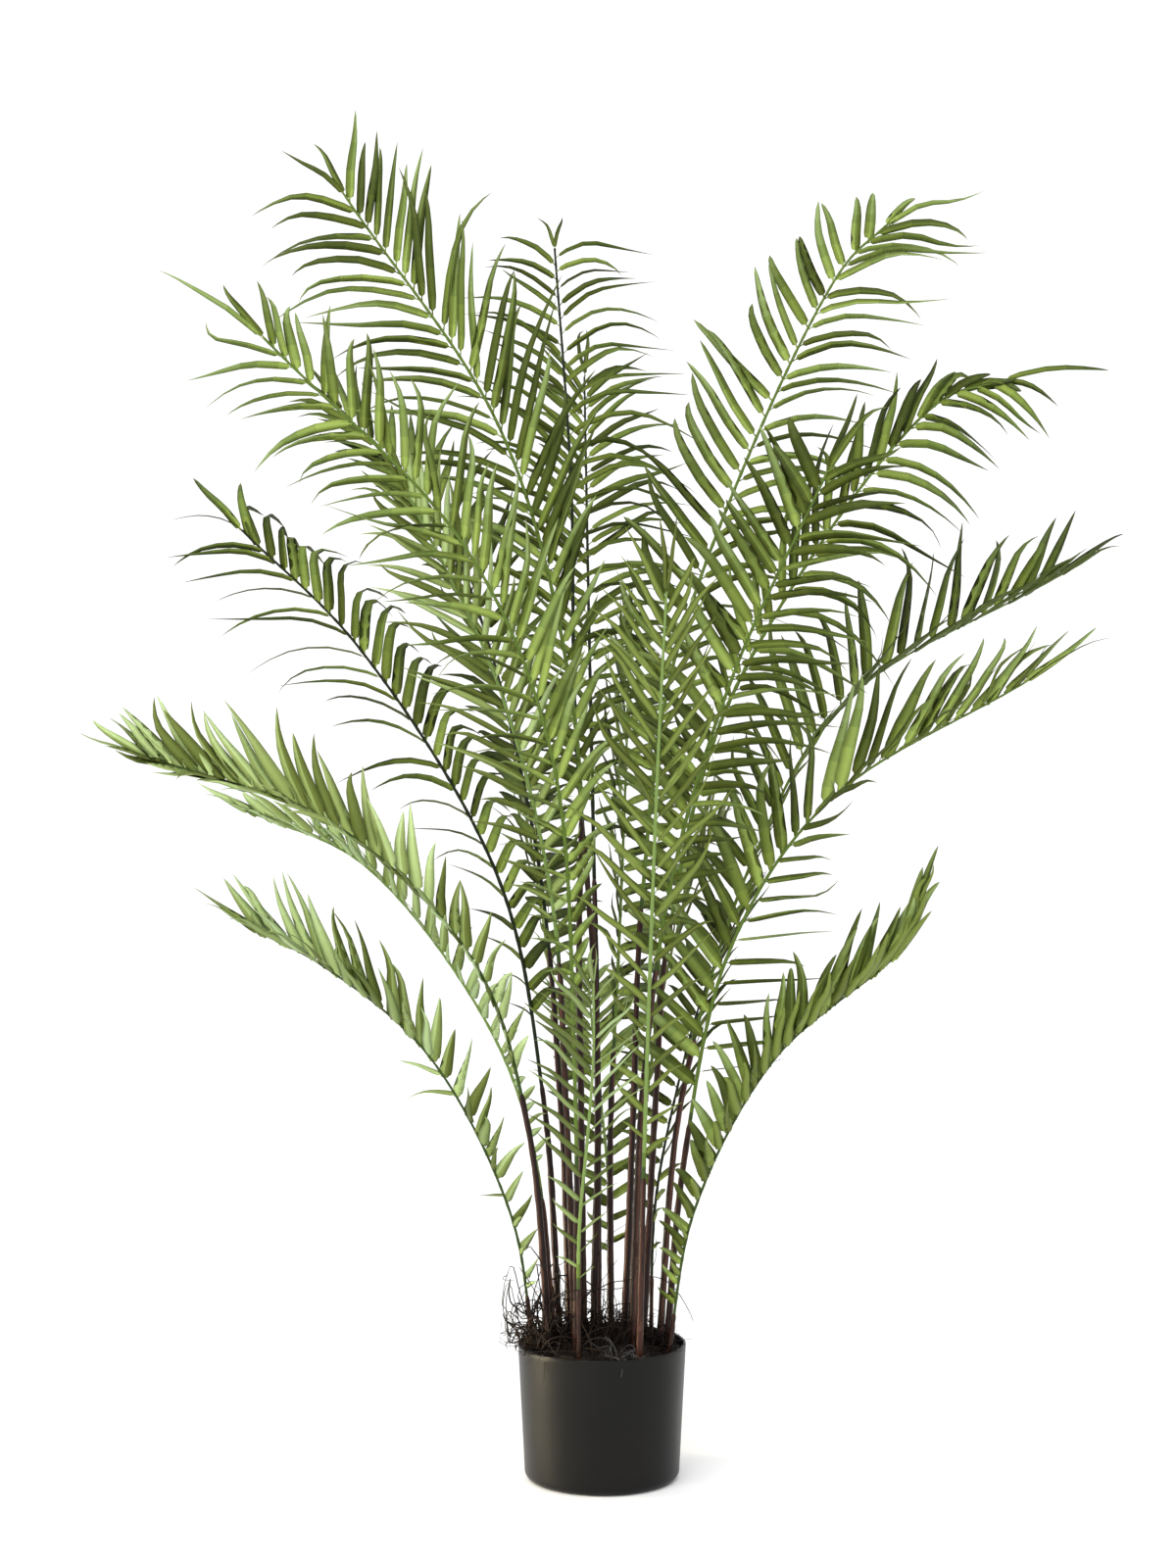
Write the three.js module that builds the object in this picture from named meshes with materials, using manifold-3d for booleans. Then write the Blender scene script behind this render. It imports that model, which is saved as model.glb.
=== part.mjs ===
// A potted artificial date palm: arching feather fronds, each on its own brown tubular stem,
// planted in the black-brown fill of a plain round nursery pot with tufts of root-like fibre.
// Millimetres, +Z up. The origin is the centre of the pot's flat underside and -Y is the front.

import * as THREE from 'three';
import { mergeVertices } from 'three/addons/utils/BufferGeometryUtils.js';
import createManifold from 'manifold-3d';

const manifold = await createManifold();
manifold.setup();

// Sizes.

const POT = {
  height: 150, // underside to rim
  rimRadius: 92.5, // outside, at the rim
  footRadius: 85.5, // outside, where the wall meets the rounded bottom edge
  edgeRadius: 10, // rounding of the bottom edge
  wall: 3,
  floor: 4,
  lip: 1.2, // how far the bead under the rim stands proud
  segments: 40,
};

const FILL = {
  gap: 0.3, // all round, between fill and pot
  edgeHeight: 141, // where the fill meets the wall
  crownHeight: 155, // at the middle of the mound
  rings: 3,
  segments: 40,
};

const STEM = {
  footRadius: 4.1,
  topRadius: 2.9,
  sides: 6,
  step: 110, // spacing of the cross sections
};

const WIRE = { footRadius: 2.7, topRadius: 2.4 }; // the thin stems of the low fronds

const RIB = {
  footWidth: 2.1, // half the width across the rib's top
  tipWidth: 1.0,
  depth: 1.5, // depth below the top, as a share of the half width
  step: 60, // spacing of the cross sections where there are no leaflets
};

const LEAF = {
  spacing: 39,
  base: 8, // length of the root along the rib
  width: 16,
  keel: 2.6, // depth of the crease under the blade
  rings: [ // cross sections: share of the length, share of the width
    { u: 0.2, width: 1 },
    { u: 0.58, width: 0.86 },
  ],
  jitter: 0.07,
  slimmest: 0.5, // least height of a triangle
};

// What holds where a frond or a row of leaflets doesn't say.
const USUAL = {
  short: 0.34,
  whole: 0.39,
  opening: 0.15,
  twist: 0,
  width: 1,
  fade: 0.3,
  sweep: -0.03,
  arch: 0,
  end: 0.8,
  gather: 0.3,
};

const CLEAR = 0.4; // least distance between a leaflet and anything it isn't part of
const SEAT = 0.3; // distance between two parts that meet

// The fronds.

// rib: foot on the fill (its height follows from the mound), points passed on the way, tip.
// stem: share of the rib's length that is the brown stem. leafy: share where leaflets start.
// short: length of the first leaflets as a share of the longest, for a frond or for one row.
// whole: share of the blade from which they have their full length. opening: how much wider
// than usual they are spaced at the blade's foot.
// face: the way the upper side of the blade looks at its foot, and faceTip at its tip.
// left and right are the rows of leaflets as seen from that side, the tip being up:
// splay: angle between leaflet and rib at the blade's foot and at its tip, in degrees.
// lift: how far the row is raised from flat towards the face, or that at foot and at tip.
// twist: how far its leaflets are turned about their own length. leaf: the longest of them.
// droop: how far level ones bend. width: factor on their width. fade: how much shorter they
// get at the tip. sweep: how far they curve away from the rib. arch: how far their outer half
// folds over backwards. end: length of the leaflet that ends the rib, as a share of leaf.
// gather: how much of the splay is lost over the last leaflets.
const FRONDS = [
  {
    name: 'low_left', tone: 'pale', stem: 0.1, leafy: 0.13,
    short: 0.24, whole: 0.75, opening: 0.4, thin: true,
    rib: [[-75, -10], [-100, -20, 295], [-190, -45, 475], [-300, -80, 574], [-363, -102, 611]],
    face: [0.8, -0.35, 0.7],
    left: { splay: [62, 16], lift: [55, 50], leaf: 96, droop: 0.05, width: 1.15, sweep: 0.1 },
    right: { splay: [68, 20], lift: [55, 50], leaf: 108, droop: 0.05, width: 1.25, sweep: 0.12 },
  },
  {
    name: 'reach_left', tone: 'pale', stem: 0.33, leafy: 0.37,
    short: 0.3, whole: 0.6, opening: 0.3,
    rib: [[-57, -32], [-80, -55, 395], [-135, -90, 575], [-280, -155, 729], [-456, -235, 800]],
    face: [0.6, -0.5, 0.8],
    left: { splay: [40, 20], lift: 30, leaf: 124, droop: 0.05, width: 1.15, sweep: 0.08 },
    right: { splay: [38, 26], lift: 48, leaf: 128, droop: 0.05, width: 1.15, sweep: 0.1 },
  },
  {
    name: 'under_left', tone: 'pale', stem: 0.22, leafy: 0.29, whole: 0.8, opening: 0.25,
    rib: [[-53, 3], [-75, -5, 363], [-127, -15, 506], [-260, -35, 680], [-378, -55, 737]],
    face: [0.8, -0.2, 0.6],
    left: { splay: [70, 24], lift: 40, leaf: 70, droop: 0.05, width: 1.05 },
    right: { splay: [72, 26], lift: 40, leaf: 72, droop: 0.05, width: 1.1 },
  },
  {
    name: 'mid_left', tone: 'dark', stem: 0.28, leafy: 0.36, short: 0.5, whole: 0.6,
    rib: [[-47, 28], [-65, 30, 415], [-115, 35, 660], [-270, 50, 915], [-400, 58, 1045]],
    face: [-0.35, -1, 0],
    left: {
      splay: [22, 16], lift: 12, twist: 50, leaf: 138, droop: 0.2, width: 0.65, sweep: 0.42,
      end: 0.55, short: 0.2,
    },
    right: {
      splay: [54, 44], lift: [12, 6], leaf: 112, droop: 0.05, width: 1.45, fade: 0.35, arch: 1.3,
    },
  },
  {
    name: 'high_left', tone: 'mid', stem: 0.17, leafy: 0.33,
    rib: [[-28, -48], [-30, -65, 460], [-55, -105, 805], [-145, -145, 1020], [-344, -214, 1226]],
    face: [0.1, -1, 0],
    left: { splay: [56, 36], lift: 26, twist: 50, leaf: 136, droop: 0.4, width: 0.75, end: 1.05 },
    right: {
      splay: [34, 54], lift: 24, leaf: 134, droop: 0.12, width: 0.88, fade: 0.45, sweep: -0.04,
      end: 0.6,
    },
  },
  {
    name: 'inner_left', tone: 'pale', stem: 0.44, leafy: 0.47,
    rib: [[-30, -20], [-40, -30, 435], [-55, -45, 645], [-110, -70, 870], [-205, -100, 1075]],
    face: [0, -1, 0.1],
    left: { splay: [50, 28], lift: 28, twist: 15, leaf: 130, droop: 0.2, width: 0.66 },
    right: { splay: [50, 28], lift: 28, twist: 15, leaf: 130, droop: 0.2, width: 0.7 },
  },
  {
    name: 'back_left', tone: 'dark', stem: 0.37, leafy: 0.42,
    rib: [[-36, 48], [-45, 70, 385], [-80, 140, 715], [-185, 255, 1055], [-310, 330, 1200]],
    face: [0.5, -0.8, 0.4],
    left: { splay: [62, 34], lift: 28, twist: 20, leaf: 124, droop: 0.3, width: 0.9 },
    right: { splay: [62, 38], lift: 28, twist: 20, leaf: 124, droop: 0.3, width: 0.9 },
  },
  {
    name: 'top_left', tone: 'mid', stem: 0.43, leafy: 0.46,
    rib: [[-20, 5], [-25, 10, 545], [-30, 25, 835], [-110, 40, 1150], [-285, 60, 1415]],
    face: [0.1, -1, 0],
    left: {
      splay: [34, 36], lift: 24, twist: 45, leaf: 158, droop: 0.22, width: 0.75, sweep: 0.26,
      end: 0.55, gather: 0.1,
    },
    right: {
      splay: [30, 46], lift: 20, leaf: 170, droop: 0.1, width: 0.85, fade: 0.5, sweep: 0,
      end: 0.44, gather: 0,
    },
  },
  {
    name: 'top_centre', tone: 'dark', stem: 0.43, leafy: 0.46,
    rib: [[-9, 28], [-5, 45, 475], [-30, 115, 840], [-35, 195, 1105], [-55, 300, 1390]],
    face: [0, -1, 0.1],
    left: {
      splay: [48, 42], lift: 22, twist: 50, leaf: 146, droop: 0.4, width: 0.6, fade: 0.4,
      sweep: 0.16, end: 0.3, gather: 0,
    },
    right: {
      splay: [48, 50], lift: 22, twist: 55, leaf: 172, droop: 0.48, width: 0.6, fade: 0.4,
      sweep: 0.16, end: 0.26, gather: 0,
    },
  },
  {
    name: 'top_back', tone: 'dark', stem: 0.42, leafy: 0.46,
    rib: [[-4, 60], [-5, 100, 455], [-10, 205, 740], [-15, 335, 985], [-20, 520, 1260]],
    face: [0.2, -0.9, 0.4],
    left: { splay: [62, 48], lift: 26, twist: 30, leaf: 148, droop: 0.42, width: 0.7 },
    right: { splay: [62, 50], lift: 26, twist: 40, leaf: 158, droop: 0.42, width: 0.75 },
  },
  {
    name: 'top_right', tone: 'mid', stem: 0.36, leafy: 0.4,
    rib: [
      [25, 20], [35, 25, 405], [45, 40, 640], [85, 70, 915], [270, 130, 1340], [322, 140, 1393],
    ],
    face: [-0.1, -1, 0],
    left: {
      splay: [66, 66], lift: 22, leaf: 136, droop: 0.08, width: 0.95, fade: 0.65, sweep: -0.1,
      end: 0.4,
    },
    right: {
      splay: [46, 36], lift: 24, twist: 48, leaf: 140, droop: 0.38, width: 0.7, fade: 0.1,
      sweep: 0.22, end: 0.85, gather: 0.6,
    },
  },
  {
    name: 'high_right', tone: 'dark', stem: 0.39, leafy: 0.42,
    rib: [
      [45, -2], [60, -5, 435], [70, -10, 580], [140, -25, 860], [360, -50, 1176], [428, -54, 1198],
    ],
    face: [-0.1, -1, 0],
    left: {
      splay: [56, 18], lift: 24, twist: 20, leaf: 126, droop: 0.5, width: 0.8, fade: 0.68,
      end: 1.1, gather: 0.5,
    },
    right: {
      splay: [50, 36], lift: 24, twist: 40, leaf: 120, droop: 0.5, width: 0.78, fade: 0.5,
      sweep: 0.15, end: 0.5,
    },
  },
  {
    name: 'inner_right', tone: 'mid', stem: 0.42, leafy: 0.45,
    rib: [[33, -30], [45, -55, 450], [75, -105, 675], [135, -170, 885], [225, -260, 1090]],
    face: [-0.1, -1, 0],
    left: {
      splay: [56, 48], lift: 26, leaf: 128, droop: 0.1, width: 1.1, fade: 0.2, end: 0.65,
      gather: 0.1,
    },
    right: {
      splay: [60, 42], lift: 26, twist: 30, leaf: 142, droop: 0.28, width: 0.85, fade: 0.15,
      end: 0.75,
    },
  },
  {
    name: 'mid_right', tone: 'dark', stem: 0.32, leafy: 0.37,
    rib: [[64, 28], [90, 40, 420], [170, 70, 680], [275, 100, 855], [521, 152, 996]],
    face: [-0.6, -0.3, 0.7],
    left: {
      splay: [54, 40], lift: 55, twist: 30, leaf: 140, droop: 0.08, width: 1.1, fade: 0.25,
      sweep: 0.04,
    },
    right: { splay: [54, 26], lift: [15, 48], leaf: 112, droop: 0.08, width: 0.95 },
  },
  {
    name: 'reach_right', tone: 'mid', stem: 0.28, leafy: 0.34, short: 0.8,
    rib: [[71, -8], [90, -15, 355], [140, -35, 590], [245, -55, 750], [447, -96, 876]],
    face: [-0.1, -1, 0], faceTip: [-0.5, -0.1, 0.9],
    left: {
      splay: [54, 36], lift: 35, leaf: 142, droop: 0.08, width: 1.3, fade: 0.25, sweep: 0.03,
    },
    right: {
      splay: [68, 44], lift: [-15, 62], twist: 50, leaf: 130, droop: 0.06, width: 0.55, fade: 0.5,
    },
  },
  {
    name: 'low_right', tone: 'mid', stem: 0.08, leafy: 0.11,
    short: 0.22, whole: 0.75, opening: 0.2, thin: true,
    rib: [[72, -36], [100, -50, 305], [185, -85, 475], [312, -142, 596], [321, -146, 616]],
    face: [-0.8, -0.35, 0.6],
    left: { splay: [62, 34], lift: 60, leaf: 112, droop: 0.05, width: 1.3 },
    right: { splay: [56, 28], lift: 62, leaf: 104, droop: 0.05, width: 1.25 },
  },
  {
    name: 'centre_front', tone: 'mid', stem: 0.22, leafy: 0.26,
    rib: [[40, -60], [45, -80, 375], [50, -145, 590], [55, -250, 795], [60, -380, 965]],
    face: [0, 0.8, 0.5],
    left: { splay: [58, 30], lift: 26, leaf: 122, droop: 0.12, width: 0.65 },
    right: { splay: [58, 32], lift: 26, leaf: 118, droop: 0.12, width: 0.7 },
  },
  {
    name: 'low_front', tone: 'pale', stem: 0.15, leafy: 0.18, short: 0.3, thin: true,
    rib: [[-25, -72], [-25, -100, 285], [-15, -180, 415], [-10, -260, 500], [-10, -360, 585]],
    face: [0, 0.7, 0.7],
    left: { splay: [56, 38], lift: 24, twist: 70, leaf: 84, droop: 0.1, width: 0.3 },
    right: { splay: [66, 42], lift: 28, twist: 20, leaf: 90, droop: 0.1, width: 0.6 },
  },
  {
    name: 'back_right', tone: 'dark', stem: 0.12, leafy: 0.17, thin: true,
    rib: [[55, 52], [60, 75, 285], [85, 130, 405], [120, 200, 515], [170, 280, 610]],
    face: [-0.6, -0.5, 0.5],
    left: { splay: [68, 40], lift: 26, leaf: 90, droop: 0.15, width: 0.8 },
    right: { splay: [68, 40], lift: 26, leaf: 90, droop: 0.15, width: 0.8 },
  },
  {
    name: 'back_centre', tone: 'dark', stem: 0.36, leafy: 0.4,
    rib: [[10, 42], [10, 70, 375], [20, 150, 570], [30, 280, 780], [35, 400, 930]],
    face: [0.8, -0.5, 0.4],
    left: { splay: [64, 38], lift: 24, leaf: 118, droop: 0.25, width: 0.85 },
    right: { splay: [64, 38], lift: 24, leaf: 118, droop: 0.25, width: 0.85 },
  },
  {
    name: 'rear_left', tone: 'mid', stem: 0.3, leafy: 0.35,
    rib: [[-28, 70], [-40, 110, 375], [-65, 215, 575], [-90, 345, 715], [-105, 470, 790]],
    face: [0.9, -0.3, 0.35],
    left: { splay: [64, 36], lift: 24, leaf: 124, droop: 0.2 },
    right: { splay: [64, 36], lift: 24, leaf: 124, droop: 0.2 },
  },
  {
    name: 'rear_right', tone: 'mid', stem: 0.3, leafy: 0.35,
    rib: [[32, 66], [45, 105, 350], [75, 200, 530], [115, 320, 650], [150, 440, 700]],
    face: [-0.9, -0.3, 0.35],
    left: { splay: [64, 36], lift: 24, leaf: 120, droop: 0.2 },
    right: { splay: [64, 36], lift: 24, leaf: 120, droop: 0.2 },
  },
  {
    name: 'rear_low', tone: 'mid', stem: 0.14, leafy: 0.19, thin: true,
    rib: [[10, 80], [10, 110, 275], [0, 185, 385], [-10, 275, 460], [-15, 370, 510]],
    face: [0, -0.5, 0.8],
    left: { splay: [68, 40], lift: 25, leaf: 95, droop: 0.12 },
    right: { splay: [68, 40], lift: 25, leaf: 95, droop: 0.12 },
  },
];

// Tufts of fibre: a short runner on the fill, with strands standing from it.
const TUFTS = [
  {
    name: 'fibre_left', rib: [[-82, -8], [-80, -24], [-72, -40]], face: [-0.6, -0.3, 1],
    left: { splay: [80, 50], lift: 58, leaf: 58, droop: 0.2 },
    right: { splay: [80, 50], lift: 58, leaf: 58, droop: 0.2 },
  },
  {
    name: 'fibre_right', rib: [[48, -68], [58, -60], [66, -50]], face: [0.4, -0.4, 1],
    left: { splay: [80, 50], lift: 58, leaf: 46, droop: 0.2 },
    right: { splay: [80, 50], lift: 58, leaf: 46, droop: 0.2 },
  },
];

const COLOURS = {
  pot: 0x2f2e2c,
  fill: 0x1d1612,
  fibre: 0x3a2c24,
  stem: 0x4b332e,
  pale: 0x86a052,
  mid: 0x6c8a3c,
  dark: 0x51702f,
};

// Small helpers.

const UP = new THREE.Vector3(0, 0, 1);
const NONE = new THREE.Vector3();
const vec = (x, y, z) => new THREE.Vector3(x, y, z);
const mix = (a, b, t) => a + (b - a) * t;
const radians = (degrees) => THREE.MathUtils.degToRad(degrees);

/** A repeatable source of numbers from -1 to 1. */
function seeded(seed) {
  let state = seed;
  return () => {
    state = (state * 1664525 + 1013904223) % 4294967296;
    return (state / 4294967296) * 2 - 1;
  };
}

function material(colour, roughness) {
  return new THREE.MeshStandardMaterial({ color: colour, roughness, metalness: 0 });
}

/** A closed surface that is put together face by face, outsides counter-clockwise. */
class Shell {
  constructor() {
    this.points = [];
    this.faces = [];
  }

  point(p) {
    this.points.push(p.x, p.y, p.z);
    return this.points.length / 3 - 1;
  }

  face(a, b, c) {
    this.faces.push(a, b, c);
  }

  quad(a, b, c, d) {
    this.face(a, b, c);
    this.face(a, c, d);
  }

  geometry() {
    const geometry = new THREE.BufferGeometry();
    geometry.setAttribute('position', new THREE.Float32BufferAttribute(this.points, 3));
    geometry.setIndex(this.faces);
    geometry.computeVertexNormals();
    return geometry;
  }

  solid() {
    return solidFrom(this.points, this.faces);
  }
}

/** A surface as a solid that distances can be measured to. */
function solidFrom(points, faces) {
  return new manifold.Manifold(new manifold.Mesh({
    numProp: 3,
    vertProperties: new Float32Array(points),
    triVerts: new Uint32Array(faces),
  }));
}

/** The same for a turned shape, whose seam and poles are first drawn together. */
function turnedSolid(geometry) {
  const bare = new THREE.BufferGeometry();
  bare.setAttribute('position', geometry.getAttribute('position'));
  bare.setIndex(geometry.index);
  const whole = mergeVertices(bare, 1e-3);
  return solidFrom(whole.attributes.position.array, whole.index.array);
}

// Pot and fill.

/** Outer radius of the pot's wall at a height above the rounded edge. */
function wallRadius(z) {
  const share = (z - POT.edgeRadius) / (POT.height - POT.edgeRadius);
  return mix(POT.footRadius, POT.rimRadius - POT.lip, share);
}

function potGeometry() {
  const profile = [new THREE.Vector2(0, 0)];
  const turns = 5;
  for (let i = 0; i <= turns; i++) {
    const angle = (Math.PI / 2) * (i / turns);
    profile.push(new THREE.Vector2(
      POT.footRadius - POT.edgeRadius * (1 - Math.sin(angle)),
      POT.edgeRadius * (1 - Math.cos(angle)),
    ));
  }
  const bead = POT.height - 5;
  const inside = (z) => wallRadius(z) - POT.wall;
  profile.push(
    new THREE.Vector2(wallRadius(bead), bead),
    new THREE.Vector2(POT.rimRadius, bead + 1.5),
    new THREE.Vector2(POT.rimRadius, POT.height - 0.8),
    new THREE.Vector2(POT.rimRadius - 0.8, POT.height),
    new THREE.Vector2(inside(POT.height), POT.height),
    new THREE.Vector2(inside(POT.edgeRadius), POT.edgeRadius),
    new THREE.Vector2(inside(POT.edgeRadius) - 6, POT.floor),
    new THREE.Vector2(0, POT.floor),
  );
  return new THREE.LatheGeometry(profile, POT.segments).rotateX(Math.PI / 2);
}

/** Height of the mound of fill at a distance from the middle. */
function moundHeight(radius) {
  const edge = wallRadius(FILL.edgeHeight) - POT.wall - FILL.gap;
  const ring = Math.min(radius / edge, 1) * FILL.rings;
  const height = (k) => mix(FILL.crownHeight, FILL.edgeHeight, (k / FILL.rings) ** 2);
  const inner = Math.min(Math.floor(ring), FILL.rings - 1);
  return mix(height(inner), height(inner + 1), ring - inner);
}

function fillGeometry() {
  const inside = (z) => wallRadius(z) - POT.wall - FILL.gap;
  const edge = inside(FILL.edgeHeight);
  const profile = [
    new THREE.Vector2(0, POT.floor + FILL.gap),
    new THREE.Vector2(inside(POT.edgeRadius) - 6.2, POT.floor + FILL.gap),
    new THREE.Vector2(inside(POT.edgeRadius), POT.edgeRadius + FILL.gap),
  ];
  for (let ring = FILL.rings; ring >= 0; ring--) {
    const radius = (edge * ring) / FILL.rings;
    profile.push(new THREE.Vector2(radius, moundHeight(radius)));
  }
  return new THREE.LatheGeometry(profile, FILL.segments).rotateX(Math.PI / 2);
}

// Ribs and stems.

/** The line a rib follows, and how its blade faces at both ends. A point with no height rests
 * on the fill, just clear of it. */
function ribLine({ rib, face, faceTip = face }, footRadius, depth) {
  const points = rib.map(([x, y, z]) => {
    const resting = moundHeight(Math.hypot(x, y) - footRadius) + SEAT + depth;
    return vec(x, y, z ?? resting);
  });
  const curve = new THREE.CatmullRomCurve3(points, false, 'centripetal');
  curve.arcLengthDivisions = 600;
  const [foot, tip] = [face, faceTip].map((way) => vec(...way).normalize());
  return { curve, face: foot, faceTip: tip, length: curve.getLength() };
}

/** Where the rib is at a share of its length, and how its blade lies there. */
function frameAt({ curve, face, faceTip }, share) {
  const along = curve.getTangentAt(share).normalize();
  const out = face.clone().lerp(faceTip, share).projectOnPlane(along).normalize();
  const across = along.clone().cross(out);
  return { centre: curve.getPointAt(share), along, out, across };
}

/** A tapering six-sided tube along the first part of a rib's curve. */
function stemShell(line, to, size) {
  const shell = new Shell();
  const count = Math.max(2, Math.round((to * line.length) / STEM.step));
  const rings = [];
  for (let i = 0; i <= count; i++) {
    const { centre, out, across } = frameAt(line, (to * i) / count);
    const radius = mix(size.footRadius, size.topRadius, i / count);
    const ring = [];
    for (let k = 0; k < STEM.sides; k++) {
      const angle = (2 * Math.PI * k) / STEM.sides;
      const p = centre.clone();
      p.addScaledVector(across, radius * Math.cos(angle));
      p.addScaledVector(out, -radius * Math.sin(angle));
      if (i === 0) p.z = centre.z;
      ring.push(shell.point(p));
    }
    rings.push(ring);
  }
  for (let i = 0; i < count; i++) {
    for (let k = 0; k < STEM.sides; k++) {
      const next = (k + 1) % STEM.sides;
      shell.quad(rings[i][k], rings[i][next], rings[i + 1][next], rings[i + 1][k]);
    }
  }
  for (let k = 1; k < STEM.sides - 1; k++) {
    shell.face(rings[0][0], rings[0][k + 1], rings[0][k]);
    shell.face(rings[count][0], rings[count][k], rings[count][k + 1]);
  }
  return shell;
}

// Leaflets.

/** How long leaflets are along the blade: short at its foot, longest past the middle. */
function lengthShare(v, { short, whole }, fade) {
  const grown = Math.min(1, short + ((1 - short) * v) / whole);
  return grown * (1 - fade * Math.max(0, (v - 0.6) / 0.4) ** 1.5);
}

/** A leaflet's line: straight out from its root, then bent and at last folded over. */
function leafLine(root, direction, length, bend, fold) {
  return (u) => root.clone()
    .addScaledVector(direction, length * u)
    .addScaledVector(bend, length * u ** 2)
    .addScaledVector(fold, length * u ** 4);
}

/** One leaflet of a row, side being 1 or -1, described before it is known to fit. */
function leaflet(spec, frame, side, v, change) {
  const row = { ...USUAL, short: spec.short, ...(side < 0 ? spec.left : spec.right) };
  const gathered = 1 - row.gather * Math.max(0, (v - 0.8) / 0.2);
  const splay = radians(mix(...row.splay, v) * gathered + change.splay);
  const lift = radians(mix(...[row.lift, row.lift].flat().slice(-2), v) + change.lift);
  const twist = radians(side * row.twist);
  const lateral = frame.across.clone().multiplyScalar(side * Math.cos(lift));
  lateral.addScaledVector(frame.out, Math.sin(lift));
  const direction = frame.along.clone().multiplyScalar(Math.cos(splay));
  direction.addScaledVector(lateral, Math.sin(splay));
  const back = frame.along.clone().multiplyScalar(-Math.sin(splay));
  back.addScaledVector(lateral, Math.cos(splay));
  const under = frame.across.clone().multiplyScalar(side * Math.sin(lift));
  under.addScaledVector(frame.out, -Math.cos(lift));
  const level = Math.hypot(direction.x, direction.y);
  const bend = back.clone().multiplyScalar(row.sweep).addScaledVector(UP, -row.droop * level);
  const fold = under.clone().multiplyScalar(0.4 * row.arch).addScaledVector(UP, -0.2 * row.arch);
  const length = row.leaf * lengthShare(v, { ...spec, short: row.short }, row.fade) * change.length;
  return {
    line: leafLine(frame.centre, direction, length, bend, fold),
    back: back.applyAxisAngle(direction, twist),
    under: under.applyAxisAngle(direction, twist),
    width: Math.min(spec.width ?? LEAF.width * row.width, length * 0.24),
    keel: spec.keel ?? LEAF.keel,
  };
}

/** The three corners of a leaflet's cross section: its back edge, keel and front edge. */
function leafRing(leaf, { u, width }) {
  const middle = leaf.line(u);
  const half = (leaf.width * width) / 2;
  return {
    rear: middle.clone().addScaledVector(leaf.back, half),
    keel: middle.clone().addScaledVector(leaf.under, leaf.keel),
    fore: middle.clone().addScaledVector(leaf.back, -half),
  };
}

/** Grows a leaflet on the corners of a gap in a shell, each named after the edge it leads to. */
function growLeaf(shell, corners, leaf) {
  let ends = corners;
  for (const section of LEAF.rings) {
    const ring = leafRing(leaf, section);
    const made = {};
    for (const edge of ['rear', 'keel', 'fore']) made[edge] = shell.point(ring[edge]);
    ends.forEach(([corner, edge], k) => {
      const [nextCorner, nextEdge] = ends[(k + 1) % ends.length];
      shell.face(corner, nextCorner, made[nextEdge]);
      if (edge !== nextEdge) shell.face(corner, made[nextEdge], made[edge]);
    });
    ends = ends
      .map(([, edge]) => [made[edge], edge])
      .filter(([corner], k, all) => corner !== all[(k + 1) % all.length][0]);
  }
  const tip = shell.point(leaf.line(1));
  ends.forEach(([corner], k) => {
    shell.face(corner, ends[(k + 1) % ends.length][0], tip);
  });
}

/** A leaflet as a small solid of its own, to measure distances from. */
function leafSolid(leaf, places) {
  const shell = new Shell();
  const corners = places.map(([place, edge]) => [shell.point(place), edge]);
  for (let k = corners.length - 2; k > 0; k--) {
    shell.face(corners[0][0], corners[k + 1][0], corners[k][0]);
  }
  growLeaf(shell, corners, leaf);
  return shell.solid();
}

/** The least height of a leaflet's triangles when it grows on the given corners. */
function slimmest(leaf, places) {
  const shell = new Shell();
  growLeaf(shell, places.map(([place, edge]) => [shell.point(place), edge]), leaf);
  const p = shell.points;
  let least = Infinity;
  for (let i = 0; i < shell.faces.length; i += 3) {
    const corners = shell.faces.slice(i, i + 3);
    const [a, b, c] = corners.map((k) => vec(p[3 * k], p[3 * k + 1], p[3 * k + 2]));
    const longest = Math.max(a.distanceTo(b), b.distanceTo(c), c.distanceTo(a));
    const area = b.sub(a).cross(c.sub(a)).length();
    least = Math.min(least, area / longest);
  }
  return least;
}

/** Turns all faces over if they look inwards. */
function outward(shell) {
  const p = shell.points;
  let volume = 0;
  for (let i = 0; i < shell.faces.length; i += 3) {
    const corners = shell.faces.slice(i, i + 3);
    const [a, b, c] = corners.map((k) => vec(p[3 * k], p[3 * k + 1], p[3 * k + 2]));
    volume += a.dot(b.cross(c));
  }
  if (volume < 0) shell.faces.reverse();
  return shell;
}

// Room for the leaflets.

/** Solids that are already in place, found by their boxes. */
class Room {
  constructor() {
    this.placed = [];
  }

  add(solid, owner) {
    this.placed.push({ solid, owner, box: solid.boundingBox() });
  }

  /** True if the solid stays clear of everything that isn't its owner's rib. */
  fits(solid, owner) {
    const box = solid.boundingBox();
    return this.placed.every((other) => {
      if (other.owner === owner) return true;
      for (let k = 0; k < 3; k++) {
        if (box.min[k] > other.box.max[k] + CLEAR) return true;
        if (box.max[k] < other.box.min[k] - CLEAR) return true;
      }
      return solid.minGap(other.solid, CLEAR) >= CLEAR;
    });
  }
}

// What is tried, in turn, for a leaflet that would touch something.
const CHANGES = [
  { splay: 0, lift: 0, length: 1 },
  { splay: 8, lift: 0, length: 1 },
  { splay: -8, lift: 0, length: 1 },
  { splay: 0, lift: 12, length: 1 },
  { splay: 0, lift: -12, length: 1 },
  { splay: 8, lift: 20, length: 0.95 },
  { splay: -8, lift: -20, length: 0.95 },
  { splay: -10, lift: 15, length: 0.8 },
  { splay: 10, lift: -15, length: 0.8 },
  { splay: 0, lift: 0, length: 0.7 },
  { splay: 0, lift: 25, length: 0.6 },
];

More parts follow.
